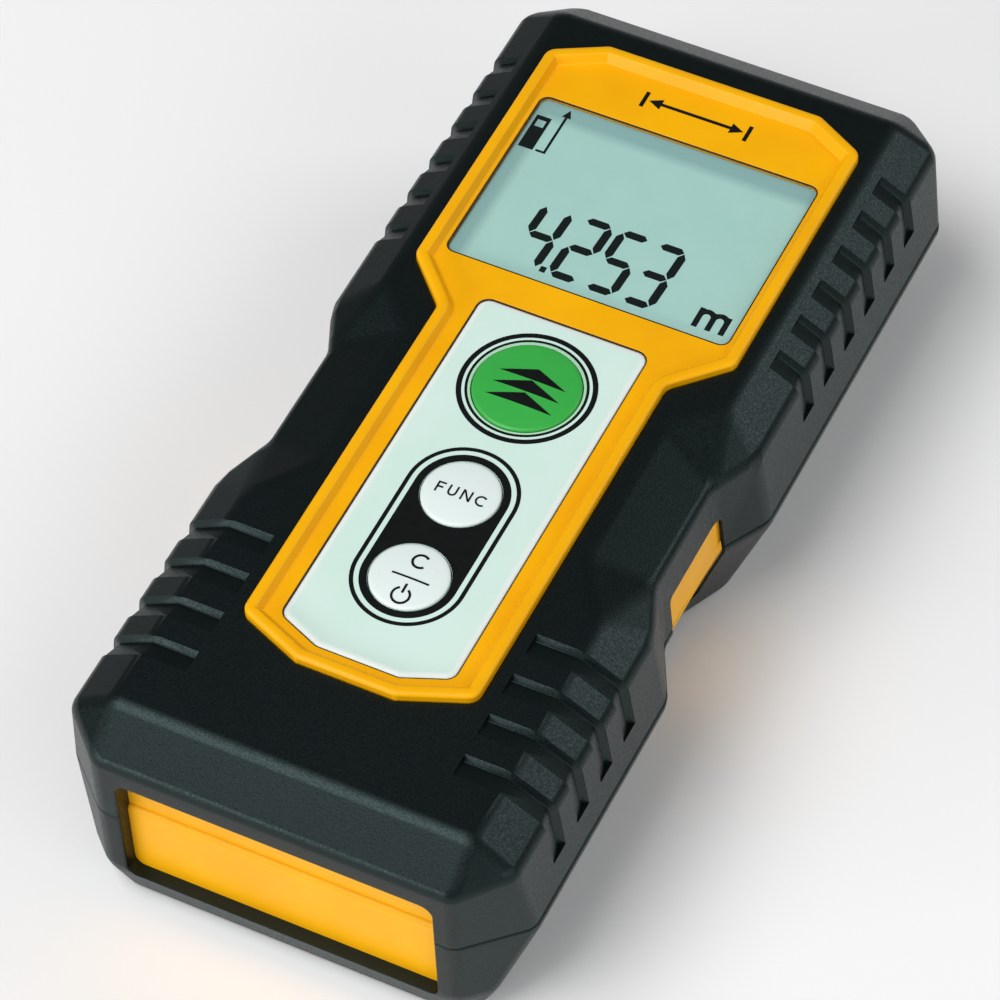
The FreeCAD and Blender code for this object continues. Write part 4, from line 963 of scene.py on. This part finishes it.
def band(path, width):
    """Outline of a line of even width along a flat path, with square ends."""
    left, right = [], []
    for i, point in enumerate(path):
        here = Vector(point)
        before = (here - Vector(path[max(i - 1, 0)]))
        after = (Vector(path[min(i + 1, len(path) - 1)]) - here)
        before = before.normalized() if i else after.normalized()
        after = after.normalized() if i < len(path) - 1 else before
        side = Vector((-before.y - after.y, before.x + after.x)) / (1.0 + before.dot(after))
        left.append(tuple(here + side * width / 2))
        right.append(tuple(here - side * width / 2))
    return right + left[::-1]


def mark(name, outlines, low_z, thick=INK_THICK):
    """Flat outlines, joined into one thin raised print."""
    shapes = [column(name, outline, low_z, low_z + thick) for outline in outlines]
    first, rest = shapes[0], shapes[1:]
    if rest:
        cut(first, *rest, operation="UNION")
    return first


def hollow(name, outer, *holes, low_z, thick=INK_THICK):
    """A flat field of print with holes in it."""
    field = column(name, outer, low_z, low_z + thick)
    return cut(field, *[column("tool", hole, low_z - 1.0, low_z + 1.0) for hole in holes])


def drape(piece, centre_y, radius):
    """Bend a flat print over the crown of a key, once it is divided into small squares."""
    shape = bmesh.new()
    shape.from_mesh(piece.data)
    for axis, middle in ((0, 0.0), (1, centre_y)):
        for step in range(-DRAPE_STEPS, DRAPE_STEPS + 1):
            normal = Vector((0.0, 0.0, 0.0))
            normal[axis] = 1.0
            bmesh.ops.bisect_plane(shape, geom=shape.verts[:] + shape.edges[:] + shape.faces[:],
                                   dist=1e-8, plane_no=normal,
                                   plane_co=normal * (middle + step * DRAPE_SQUARE) * MM)
    bmesh.ops.triangulate(shape, faces=shape.faces)
    for vertex in shape.verts:
        reach = math.hypot(vertex.co.x, vertex.co.y - centre_y * MM) / (radius * MM)
        vertex.co.z += CROWN * MM * (1.0 - min(reach, 1.0) ** 2)
    shape.to_mesh(piece.data)
    shape.free()
    return piece


def stadium(radius, steps=40):
    """Outline round the two small keys."""
    far = arc(0, FUNCTION_Y, radius, 0, 180, steps)
    near = arc(0, CLEAR_Y, radius, 180, 360, steps)
    return far + near


# ---------------------------------------------------------------- display

# Middle of each bar, across and up in digit widths and half digit heights, and whether it
# stands upright.
SEGMENT_PLACES = {
    "a": (0.5, 2.0, 0), "b": (1.0, 1.5, 1), "c": (1.0, 0.5, 1), "d": (0.5, 0.0, 0),
    "e": (0.0, 0.5, 1), "f": (0.0, 1.5, 1), "g": (0.5, 1.0, 0),
}
SEGMENTS_LIT = {"2": "abged", "3": "abgcd", "4": "fgbc", "5": "afgcd"}
DIGITS = (("4", -9.35), ("2", -4.75), ("5", -0.55), ("3", 3.65))    # figure, left end's x
DIGIT_Y = 16.9
DIGIT_WIDTH = 2.8
DIGIT_HALF = 4.0
DIGIT_SLANT = 0.045
BAR_WIDTH = 0.92
BAR_GAP = 0.1
POINT = (-5.95, 16.55, -5.3, 17.3)          # low x, low y, high x, high y
UNIT_X = 11.35
UNIT_Y = 16.45
UNIT_STEP = 1.5         # from stem to stem of the m
UNIT_STEM = 2.45        # the stems' height, and the first one's
UNIT_FIRST_STEM = 2.65
UNIT_STROKE = 0.62
UNIT_ARCH_Y = 18.05
METER_SIGN = (-15.55, 31.35, -13.85, 36.1)
METER_SIGN_DISPLAY = (-15.2, 34.55, -14.2, 35.55)
REFERENCE_LINES = ((-13.55, 31.35, -12.45, 31.62), (-12.68, 31.35, -12.4, 37.2))
REFERENCE_HEAD = [(-13.05, 36.9), (-12.03, 36.9), (-12.54, 38.0)]
PAINTED_SHADE_FAR = (3.1, 1.7)      # where the display's painted shade starts and ends, from its edge; it stands in for the shadow that the window's edges would cast on the display
PAINTED_SHADE_LEFT = (1.2, 2.4)


def make_display_face():
    """The liquid crystal cell, filling the opening under the window, with painted shade darkening it
    towards its far and left edges.
    """
    levels = ((CELL_LOW_Z, PANE_FIT), (GLASS_Z - 0.05, PANE_FIT), (GLASS_Z, PANE_FIT + 0.05))
    cell = smooth(stack("display_cell", window_outline, levels))
    finish = Finish("liquid_crystal_cell", 0.3, specular=0.3)
    grain = finish.noise(3.0, 2.0)
    base = finish.blend(finish.span(grain, 0.0, 1.0), linear(174, 218, 209),
                        linear(178, 221, 213))
    # Painted shade: a darker colour towards the far and left edges of the display, in place of the
    # shadow that the window's edges would cast on it.
    painted_shade_colour = linear(146, 187, 184)
    far = finish.span(finish.axis("Y"), 0.0, 1.0, *[(WINDOW_FAR - gap) * MM for gap in PAINTED_SHADE_FAR])
    left = finish.span(finish.axis("X"), 1.0, 0.0,
                       *[(gap - WINDOW_HALF) * MM for gap in PAINTED_SHADE_LEFT])
    painted_shade_mask = finish.nodes.new("ShaderNodeMath")
    painted_shade_mask.operation = "MAXIMUM"
    finish.links.new(far, painted_shade_mask.inputs[0])
    finish.links.new(left, painted_shade_mask.inputs[1])
    finish.colour(finish.blend(painted_shade_mask.outputs[0], base, painted_shade_colour))
    finish.relief(finish.noise(0.3, 2.0), 0.002)
    fit(cell, "root", finish.material, "lcd_glass", "lcd_glass")


def make_digits():
    """The reading, in slanted seven-bar digits."""
    places, turns, stretches = [], [], []
    for digit, x in DIGITS:
        for bar in SEGMENTS_LIT[digit]:
            across, up, upright = SEGMENT_PLACES[bar]
            y = up * DIGIT_HALF
            places.append((x + across * DIGIT_WIDTH + y * DIGIT_SLANT, DIGIT_Y + y, GLASS_Z))
            turns.append(math.pi / 2 - DIGIT_SLANT if upright else 0.0)
            stretches.append(DIGIT_HALF / DIGIT_WIDTH if upright else 1.0)
    bars = Pattern("digit_bars", length=DIGIT_WIDTH - BAR_GAP, width=BAR_WIDTH, thick=INK_THICK)
    body = bars.node("GeometryNodeMeshCube", {"Size": bars.vector(
        bars.calc("SUBTRACT", bars["length"], bars["width"]), bars["width"], bars["thick"])})
    half = bars.calc("MULTIPLY", bars["length"], 0.5)
    tips = bars.line(bars.vector(bars.calc("MULTIPLY", half, -1.0)), bars.vector(half))
    bar = bars.node("GeometryNodeConvexHull", {"Geometry": bars.together(body, tips)})
    size = bars.vector(bars.attribute("stretch"), 1.0, 1.0)
    spots = places_mesh("digit_places", places, turn=turns, stretch=stretches)
    digits = bars.lay("digit_bars", spots, bar, SEGMENT_INK, turn=bars.attribute("turn"),
                      size=size)
    fit(digits, "root", SEGMENT_INK, "soft_black")


def make_display_marks():
    """Decimal point, unit, and the mark that shows which end is measured from."""
    low = GLASS_Z - THIN_SINK
    point = mark("decimal_point", [box_outline(*POINT)], low)
    stems = [UNIT_X + i * UNIT_STEP for i in range(3)]
    strokes = [box_outline(x, UNIT_Y, x + UNIT_STROKE, UNIT_Y + UNIT_STEM) for x in stems]
    strokes.append(box_outline(UNIT_X, UNIT_ARCH_Y - 0.05, UNIT_X + UNIT_STROKE,
                               UNIT_Y + UNIT_FIRST_STEM))
    reach = UNIT_STEP / 2
    arches = [arc(x + UNIT_STROKE / 2 + reach, UNIT_ARCH_Y, reach, 180, 0, 14) for x in stems[:2]]
    foot = (UNIT_X + UNIT_STROKE / 2, UNIT_ARCH_Y - 0.05)
    strokes += [band([foot] + arches[0], UNIT_STROKE), band(arches[1], UNIT_STROKE)]
    unit = mark("unit_metre", strokes, low)
    body = hollow("meter_mark", box_outline(*METER_SIGN), box_outline(*METER_SIGN_DISPLAY),
                  low_z=low)
    shaft = mark("reference_mark", [box_outline(*line) for line in REFERENCE_LINES]
                 + [REFERENCE_HEAD], low)
    for piece in (point, unit, body, shaft):
        fit(piece, "root", SEGMENT_INK, "soft_black")


def make_gap_shade_rings():
    """Thin black rings in the gaps round the window and the keypad: a dark sheet standing in for the
    shade in those gaps.
    """
    for name, outline, inner in (("window_gap_shade", window_outline, WINDOW_GAP_SHADE_INNER),
                                 ("keypad_gap_shade", keypad_outline, KEYPAD_GAP_SHADE_INNER)):
        shade_ring = hollow(name, outline(GAP_SHADE_OUTER), outline(inner), low_z=GAP_SHADE_LOW_Z,
                        thick=GAP_SHADE_THICK)
        fit(shade_ring, "root", BLACK_PLASTIC, "seal_rubber")


def make_window():
    """Clear window over the display, level with the plate round it."""
    levels = ((WINDOW_LOW_Z, PANE_FIT), (PLATE_Z - 0.06, PANE_FIT), (PLATE_Z, PANE_FIT + 0.06))
    pane = smooth(stack("window_pane", window_outline, levels))
    fit(pane, "root", WINDOW_CLEAR, "clear_window", "display_window")


# ---------------------------------------------------------------- keypad and keys

ROUND_STEPS = 96            # sides of the keys and of the rings round them
MEASURE_RING = (7.22, 6.66)     # outer and inner radius
MEASURE_LINE = (6.34, 6.04)
KEY_PAIR_LINE = (5.99, 5.55)
KEY_PAIR_FIELD = 5.03
ARROW_HALF = 3.7
ARROW_HEIGHT = 1.5
ARROW_X = 0.2
ARROW_LIFTS = (-2.41, -0.71, 0.91)      # the arrowheads' feet, from the key's middle
LETTER_STROKE = 0.2
LETTER_FOOT = -14.15
LETTER_TOP = -12.83
SIGN_Y = 42.4
SIGN_REACH = 6.2


def gap_to(outline, point):
    """Distance from a point to the nearest side of a flat outline."""
    spot = Vector((point[0], point[1]))
    gaps = []
    for i, end in enumerate(outline):
        start = Vector(outline[i - 1])
        side = Vector(end) - start
        share = max(0.0, min(1.0, (spot - start).dot(side) / max(side.length_squared, 1e-9)))
        gaps.append((spot - start - side * share).length)
    return min(gaps)


def make_keypad():
    """Pale panel with a softly bevelled edge and three round openings."""
    panel = stack("keypad", keypad_outline, [(z, amount) for amount, z in KEYPAD_PROFILE])
    openings = []
    for y, radius in ((MEASURE_Y, MEASURE_R), (FUNCTION_Y, SMALL_R), (CLEAR_Y, SMALL_R)):
        wide = radius + 0.06
        profile = [(0, KEYPAD_LOW_Z - 1), (radius, KEYPAD_LOW_Z - 1), (radius, PLATE_Z - 0.06),
                   (wide, PLATE_Z), (wide, RIM_Z), (0, RIM_Z)]
        openings.append(lathe("tool", profile, (0, y, 0), steps=ROUND_STEPS))
    cut(panel, *openings)
    smooth(panel, 40.0)
    # The edge number is 1 at the outline and falls to 0 across the bevel; it drives the film's painted
    # highlight.
    pale = panel.data.attributes.new("edge", "FLOAT", "POINT")
    rim = keypad_outline()
    pale.data.foreach_set("value", [max(0.0, 1.0 - gap_to(rim, v.co / MM) / KEYPAD_BEVEL)
                                    for v in panel.data.vertices])
    fit(panel, "root", KEYPAD_FILM, "keypad_film", "keypad_panel")


def make_keypad_prints():
    """Rings round the measure key, and the black field with its line round the small keys."""
    low = PLATE_Z - PRINT_SINK

    def ring_print(name, outer, inner):
        return hollow(name, circle(0, MEASURE_Y, outer, ROUND_STEPS),
                      circle(0, MEASURE_Y, inner, ROUND_STEPS), low_z=low)

    keys = [circle(0, y, SMALL_R + 0.02) for y in (FUNCTION_Y, CLEAR_Y)]
    prints = [ring_print("measure_ring", *MEASURE_RING), ring_print("measure_line", *MEASURE_LINE),
              hollow("key_pair_line", *[stadium(radius) for radius in KEY_PAIR_LINE], low_z=low),
              hollow("key_pair_field", stadium(KEY_PAIR_FIELD), *keys, low_z=low)]
    for piece in prints:
        fit(piece, "root", INK, "soft_black")
    edge = ring_print("measure_edge", MEASURE_LINE[1], MEASURE_R + 0.07)
    fit(edge, "root", KEY_RIM, "keypad_film")


def make_key(name, node, body, y, radius, finish, slot):
    """Crowned cap on a flange, with the stem that works the dome under it."""
    cap, flange = radius - KEY_GAP, radius + FLANGE_REACH
    profile = [(0, STEM_LOW_Z), (STEM_R - STEM_EDGE, STEM_LOW_Z), (STEM_R, STEM_LOW_Z + STEM_EDGE),
               (STEM_R, FLANGE_LOW_Z), (flange - FLANGE_EDGE, FLANGE_LOW_Z),
               (flange, FLANGE_LOW_Z + FLANGE_EDGE), (flange, FLANGE_TOP_Z - FLANGE_EDGE),
               (flange - FLANGE_EDGE, FLANGE_TOP_Z), (cap, FLANGE_TOP_Z), (cap, CAP_Z - 0.2),
               (cap - 0.03, CAP_Z - 0.1), (cap - 0.1, CAP_Z - 0.03), (cap - 0.22, CAP_Z + 0.015)]
    rise = [(cap * share, CAP_Z + CROWN * (1 - share ** 2)) for share in CROWN_SHARES]
    key = lathe(name, profile + rise, (0, y, 0), steps=ROUND_STEPS)
    smooth(key, 40.0)
    return fit(key, body, finish, slot, node)


def make_keys():
    """The green measure key and the two white ones."""
    make_key("measure_key_cap", "measure_button", "measure_key", MEASURE_Y, MEASURE_R,
             KEY_GREEN, "green_key")
    make_key("function_key_cap", "function_button", "function_key", FUNCTION_Y, SMALL_R,
             KEY_WHITE, "white_key")
    make_key("clear_key_cap", "clear_button", "clear_key", CLEAR_Y, SMALL_R,
             KEY_WHITE, "white_key")


def make_measure_arrows():
    """Three flat arrowheads, one above the other, that point at the laser end."""
    places = [(ARROW_X, MEASURE_Y + lift, CAP_Z - THIN_SINK) for lift in ARROW_LIFTS]
    heads = Pattern("arrow_heads", half_width=ARROW_HALF, height=ARROW_HEIGHT, thick=INK_THICK)
    base = heads.line(heads.vector(heads.calc("MULTIPLY", heads["half_width"], -1.0)),
                      heads.vector(heads["half_width"]))
    peak = heads.node("GeometryNodeMeshLine", {
        "Count": 1, "Start Location": heads.vector(0.0, heads["height"])}, mode="OFFSET")
    low = heads.together(base, peak)
    shape = heads.node("GeometryNodeConvexHull", {"Geometry": heads.together(
        low, heads.moved(low, z=heads["thick"]))})
    arrows = heads.lay("measure_arrows", places_mesh("arrow_places", places), shape, INK)
    drape(arrows, MEASURE_Y, MEASURE_R)
    fit(arrows, "measure_key", INK, "soft_black")


def make_key_labels():
    """FUNC, C and the on-off sign, drawn with plain even strokes."""
    low, bold = CAP_Z - THIN_SINK, LETTER_STROKE
    foot, top = LETTER_FOOT, LETTER_TOP
    middle = (foot + top) / 2
    letter_f = [box_outline(-2.6, foot, -2.6 + bold, top),
                box_outline(-2.6, top - bold, -1.72, top),
                box_outline(-2.6, middle - bold / 2, -1.85, middle + bold / 2)]
    bowl = arc(-0.78, foot + 0.5, 0.4, 180, 360, 10)
    letter_u = [band([(-1.18, top)] + bowl + [(-0.38, top)], bold)]
    letter_n = [box_outline(0.2, foot, 0.2 + bold, top),
                box_outline(1.08, foot, 1.08 + bold, top),
                [(1.06, foot), (1.28, foot), (0.42, top), (0.2, top)]]
    letter_c = [band(arc(2.38, middle, 0.56, 50, 310, 24), bold)]
    func = drape(mark("function_label", letter_f + letter_u + letter_n + letter_c, low),
                 FUNCTION_Y, SMALL_R)
    fit(func, "function_key", INK, "soft_black")
    clear_c = band(arc(0.3, -22.73, 0.82, 45, 315, 24), 0.27)
    divider = box_outline(-1.73, -25.09, 2.33, -24.87)
    power_ring = band(arc(0.32, -27.2, 0.92, 120, 420, 28), 0.25)
    power_bar = box_outline(0.19, -26.9, 0.45, -25.75)
    clear_sign = drape(mark("clear_label", [clear_c, divider, power_ring, power_bar], low),
                       CLEAR_Y, SMALL_R)
    fit(clear_sign, "clear_key", INK, "soft_black")


def make_plate_mark():
    """A plain distance sign over the display: an arrow both ways between two bars."""
    y, reach = SIGN_Y, SIGN_REACH
    signs = [box_outline(-reach, y - 1.1, -reach + 0.45, y + 1.1),
             box_outline(reach - 0.45, y - 1.1, reach, y + 1.1),
             box_outline(-reach + 1.6, y - 0.2, reach - 1.6, y + 0.2)]
    for side in (-1, 1):
        head = [(side * (reach - 0.75), y), (side * (reach - 2.2), y + 0.72),
                (side * (reach - 2.2), y - 0.72)]
        signs.append(head if side > 0 else head[::-1])
    fit(mark("distance_sign", signs, PLATE_Z - PRINT_SINK), "root", INK, "soft_black")


make_display_face()
make_digits()
make_display_marks()
make_gap_shade_rings()
make_window()
make_keypad()
make_keypad_prints()
make_keys()
make_measure_arrows()
make_key_labels()
make_plate_mark()


# ---------------------------------------------------------------- far end

LENS_R = 6.0
LENS_CROWN = 1.0        # how far the lens' middle stands out from its edge
LENS_SWEEP = 18         # half the arc of its front face, in degrees
RING_INNER = 5.62
RING_OUTER = 6.5
RING_FACE_Y = 53.95
COLLAR_INNER = 2.35
COLLAR_OUTER = 2.95
COLLAR_HEIGHT = 0.22


def turned_ring(name, profile, x, z, steps):
    """A closed ring about a lengthwise axis, in black."""
    piece = smooth(lathe(name, profile + profile[:1], (x, 0, z), "Y", steps), 40.0)
    fit(piece, "root", RING_BLACK, "black_plastic")


def make_optics():
    """Lens with its retaining ring, laser window with its collar, and their panel."""
    panel = cad_copy("optics_face", "optics_panel")
    round_edges(panel, 0.3)
    smooth(panel, 35.0)
    fit(panel, "root", BLACK_PLASTIC, "black_plastic", "optics_panel")
    x, z, back, front = lie_of("receiver_lens")
    edge = front - LENS_CROWN
    flat = math.cos(math.radians(LENS_SWEEP))
    crown = [(LENS_R * math.sin(angle) / math.sin(math.radians(LENS_SWEEP)),
              edge + LENS_CROWN * (math.cos(angle) - flat) / (1 - flat))
             for angle in (math.radians(a) for a in range(LENS_SWEEP, -1, -2))]
    rear = [(0, back), (LENS_R - 0.2, back), (LENS_R, back + 0.2)]
    lens = smooth(lathe("receiver_lens_glass", rear + crown, (x, 0, z), "Y", ROUND_STEPS), 40.0)
    fit(lens, "root", LENS_GLASS, "optic_glass", "receiver_lens")
    turned_ring("lens_ring", [
        (RING_INNER, edge + 0.32), (RING_OUTER, edge + 0.32), (RING_OUTER, RING_FACE_Y - 0.2),
        (6.4, RING_FACE_Y - 0.05), (6.2, RING_FACE_Y), (6.0, RING_FACE_Y - 0.05),
        (5.86, RING_FACE_Y - 0.2), (RING_INNER, edge + 0.4)], x, z, ROUND_STEPS)
    x, z, _, _ = lie_of("laser_window")
    _, _, _, face = lie_of("optics_panel")
    turned_ring("laser_collar", [
        (COLLAR_INNER, face - 0.02), (COLLAR_OUTER, face - 0.02), (COLLAR_OUTER, face + 0.12),
        (COLLAR_OUTER - 0.1, face + COLLAR_HEIGHT), (COLLAR_INNER + 0.2, face + COLLAR_HEIGHT),
        (COLLAR_INNER, face + 0.02)], x, z, 64)


# ---------------------------------------------------------------- base

HEAD_R = 1.9
HEAD_CHAMFER = 0.25
SHANK_R = 1.0
SLOT_WIDTH = 0.45
SLOT_LENGTH = 2.3
SLOT_DEPTH = 0.8
CELL_LENGTH = 44.5      # over the button
CASE_LENGTH = 43.5
BUTTON_R = 1.9
COPPER_LENGTH = 13.0    # the copper part of the jacket, from the button's end
COPPER_EDGE = 0.08


def make_door():
    """Battery door as the CAD has it, with softened edges."""
    door = cad_copy("door_leaf", "battery_door")
    round_edges(door, 0.12, 2)
    smooth(door, 30.0)
    fit(door, "door", YELLOW, "yellow_plastic", "battery_door")


def make_screws():
    """Four long screws that hold the halves together, with a cross slot in each head."""
    low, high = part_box("housing_screws")
    base, tip = low[2] / MM, high[2] / MM
    screws = Pattern("housing_screws", head_radius=HEAD_R, head_height=SCREW_SEAT_Z - base,
                     chamfer=HEAD_CHAMFER, shank_radius=SHANK_R, length=tip - SCREW_SEAT_Z,
                     slot_width=SLOT_WIDTH, slot_length=SLOT_LENGTH, slot_depth=SLOT_DEPTH)
    flat = screws.calc("SUBTRACT", screws["head_height"], screws["chamfer"])
    face_radius = screws.calc("SUBTRACT", screws["head_radius"], screws["chamfer"])
    chamfer = screws.node("GeometryNodeMeshCone", {
        "Vertices": 40, "Radius Top": screws["head_radius"], "Depth": screws["chamfer"],
        "Radius Bottom": face_radius})
    head = screws.node("GeometryNodeMeshCylinder", {
        "Vertices": 40, "Radius": screws["head_radius"], "Depth": flat})
    head = screws.moved(head, z=screws.calc("ADD", screws["chamfer"],
                                            screws.calc("MULTIPLY", flat, 0.5)))
    shank = screws.node("GeometryNodeMeshCylinder", {
        "Vertices": 24, "Radius": screws["shank_radius"], "Depth": screws["length"]})
    shank = screws.moved(shank, z=screws.calc("ADD", screws["head_height"],
                                              screws.calc("MULTIPLY", screws["length"], 0.499)))
    long, wide = screws["slot_length"], screws["slot_width"]
    deep = screws.calc("MULTIPLY", screws["slot_depth"], 2.0)
    cross = [screws.node("GeometryNodeMeshCube", {"Size": screws.vector(*sizes)})
             for sizes in ((long, wide, deep), (wide, long, deep))]
    solid = screws.node("GeometryNodeMeshBoolean", {
        "Mesh 2": screws.together(chamfer, head, shank)}, operation="UNION")
    slotted = screws.node("GeometryNodeMeshBoolean", {
        "Mesh 1": solid, "Mesh 2": screws.together(*cross)}, operation="DIFFERENCE")
    places = places_mesh("screw_places", [(x, y, base) for x, y in SCREWS],
                         turn=SCREW_TURNS)
    piece = screws.lay("long_screws", places, slotted, STEEL, turn=screws.attribute("turn"))
    smooth(piece, 30.0)
    fit(piece, "root", STEEL, "steel", "housing_screws")


def make_cells():
    """Two cells, head to tail, whose printed jackets end in a copper band at the button."""
    for side, button in (("left", 1), ("right", -1)):
        node = f"battery_{side}"
        x, z, near, far = lie_of(node)
        low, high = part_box(node)
        radius = (high[0] - low[0]) / 2 / MM
        start, stop = (near, far) if button > 0 else (far, near)
        profile = [(0.0, 0.0), (radius - 0.9, 0.0), (radius - 0.45, 0.08), (radius - 0.1, 0.3),
                   (radius, 0.6), (radius, CASE_LENGTH - 0.7), (radius - 0.1, CASE_LENGTH - 0.35),
                   (radius - 0.45, CASE_LENGTH - 0.1), (radius - 1.0, CASE_LENGTH),
                   (BUTTON_R, CASE_LENGTH), (BUTTON_R, CELL_LENGTH - 0.2),
                   (BUTTON_R - 0.2, CELL_LENGTH), (0.0, CELL_LENGTH)]
        shape = [(r, start + button * length) for r, length in profile]
        cell = lathe(f"cell_{side}", shape, (x, 0, z), "Y", 64)
        smooth(cell, 40.0)
        finish = Finish(f"cell_jacket_{side}", 0.3, specular=0.5)
        edges = [(stop - button * (COPPER_LENGTH + blur)) * MM for blur in (COPPER_EDGE, -COPPER_EDGE)]
        copper = finish.span(finish.axis("Y"), 0.0, 1.0, *edges)
        worn = finish.blend(finish.span(finish.noise(4.0), 0.0, 1.0), linear(196, 116, 58),
                            linear(214, 138, 78))
        dark = finish.blend(finish.span(finish.noise(7.0), 0.0, 1.0), linear(30, 32, 38),
                            linear(42, 44, 52))
        finish.colour(finish.blend(copper, dark, worn))
        finish.uneven(0.24, 0.38, 1.5)
        finish.relief(finish.noise(0.6, 3.0), 0.004)
        fit(cell, "root", finish.material, "cell_jacket", node)


make_optics()
make_door()
make_screws()
make_cells()


# ---------------------------------------------------------------- finishes of the inner parts

def solder_mask(name):
    """Green board lacquer over faint raised tracks."""
    finish = Finish(name, 0.32)
    tracks = finish.span(finish.cells(1.6), 0.0, 1.0, 0.25, 0.32)
    finish.colour(finish.blend(tracks, linear(28, 112, 62), linear(14, 84, 44)))
    finish.relief(tracks, 0.03)
    return finish.material


def coloured_glass(name, tint, alpha):
    """Glass that is tinted through and through."""
    finish = Finish(name, 0.06, specular=0.7)
    finish.mottled(tint, 4.0, 0.05)
    finish.shader.inputs["Alpha"].default_value = alpha
    return finish.material


# The finish of each material slot whose CAD nodes stay as they are
INNER = {
    "pale_reflector": moulded("reflector_white", linear(226, 236, 230), 0.6),
    "white_plastic": moulded("white_moulding", linear(226, 226, 220), 0.42),
    "steel": STEEL,
    "board_laminate": solder_mask("green_lacquer"),
    "chip_resin": moulded("chip_resin", linear(34, 34, 36), 0.62, 0.12, 0.01),
    "can_metal": metal("drawn_can", linear(200, 201, 204), 0.24, (1.0, 1.0, 0.15)),
    "black_plastic": BLACK_PLASTIC,
    "wire_jacket": moulded("wire_jacket", linear(168, 24, 22), 0.36, 1.5, 0.01),
    "optic_glass": coloured_glass("laser_window_glass", linear(88, 12, 14), 0.8),
    "filter_glass": coloured_glass("red_filter", linear(140, 16, 16), 0.7),
    "brass": metal("turned_brass", linear(206, 168, 92), 0.25, (1.0, 8.0, 1.0)),
    "flex_film": moulded("amber_film", linear(176, 104, 36), 0.3, 0.6, 0.006),
    "seal_rubber": rubber("seal_cord", linear(40, 40, 42), 0.62),
    "soft_black": rubber("zebra_strip", linear(32, 33, 36), 0.5),
}


def finish_inner_parts():
    """Give every CAD node that stays as it is the finish of its material slot."""
    for part in frame["record"]["subparts"]:
        if part["material_slot"] in INNER:
            node = frame["nodes"][part["node"]]
            node.data.materials.clear()
            node.data.materials.append(INNER[part["material_slot"]])


finish_inner_parts()


# ---------------------------------------------------------------- floor, light and camera

# Metres from here on
FLOOR_REACH = 3.0
LIGHT_AIM = Vector((0.0, 0.0, 0.012))
WORLD_LIGHT = 0.13
LENS = 182.3                # focal length, in the usual millimetres on a 36 mm sensor
CAMERA_AIM = Vector((-0.00086, -0.00369, 0.0135))
CAMERA_DISTANCE = 0.51883
CAMERA_TURN = 28.655        # degrees from the near end towards the right side
CAMERA_HEIGHT = 51.912      # degrees over the floor
CAMERA_ROLL = -3.151


def make_stage():
    """The pale floor that the meter lies on."""
    floor = bpy.data.meshes.new("floor")
    corners = box_outline(-FLOOR_REACH, -FLOOR_REACH, FLOOR_REACH, FLOOR_REACH)
    floor.from_pydata([(x, y, 0) for x, y in corners], [], [(0, 1, 2, 3)])
    ground = add_piece("floor", floor)
    finish = Finish("pale_floor", 0.8, specular=0.1)
    finish.mottled(linear(252, 252, 252), 60.0, 0.01)
    floor.materials.append(finish.material)


def area_light(name, place, size, power):
    """A soft rectangular light that faces the meter."""
    light = bpy.data.lights.new(name, "AREA")
    light.shape = "RECTANGLE"
    light.size, light.size_y = size
    light.energy = power
    lamp = bpy.data.objects.new(name, light)
    lamp.location = place
    aim = LIGHT_AIM - Vector(place)
    lamp.rotation_euler = aim.to_track_quat("-Z", "Y").to_euler()
    bpy.context.scene.collection.objects.link(lamp)


def make_lights():
    """Four softboxes in a dim studio; the low one at the near left lights the pockets' walls."""
    area_light("right_back_softbox", place=(0.50, 0.46, 0.56), size=(0.36, 0.30), power=1.3)
    area_light("near_left_softbox", place=(-0.40, -0.80, 0.24), size=(0.7, 0.12), power=3.2)
    area_light("top_softbox", place=(-0.30, -0.36, 0.94), size=(0.8, 0.6), power=7.6)
    area_light("right_fill", place=(0.78, -0.36, 0.42), size=(0.9, 0.5), power=2.2)
    world = bpy.data.worlds.new("studio")
    world.use_nodes = True
    background = world.node_tree.nodes["Background"]
    background.inputs["Color"].default_value = (0.95, 0.97, 1.0, 1.0)
    background.inputs["Strength"].default_value = WORLD_LIGHT
    bpy.context.scene.world = world
    bpy.context.scene.view_settings.view_transform = "Standard"


def make_camera():
    """Camera that looks down on the near right corner, a little tilted."""
    camera = bpy.data.cameras.new("camera")
    camera.lens = LENS
    camera.sensor_width = 36.0
    camera.clip_start = 0.01
    camera.clip_end = 50.0
    turn, height = math.radians(CAMERA_TURN), math.radians(CAMERA_HEIGHT)
    back = Vector((math.sin(turn) * math.cos(height), -math.cos(turn) * math.cos(height),
                   math.sin(height)))
    level = back.to_track_quat("Z", "Y").to_matrix().to_4x4()
    roll = Matrix.Rotation(math.radians(CAMERA_ROLL), 4, "Z")
    holder = bpy.data.objects.new("camera", camera)
    holder.matrix_world = Matrix.Translation(CAMERA_AIM + back * CAMERA_DISTANCE) @ level @ roll
    bpy.context.scene.collection.objects.link(holder)
    bpy.context.scene.camera = holder


make_stage()
make_lights()
make_camera()
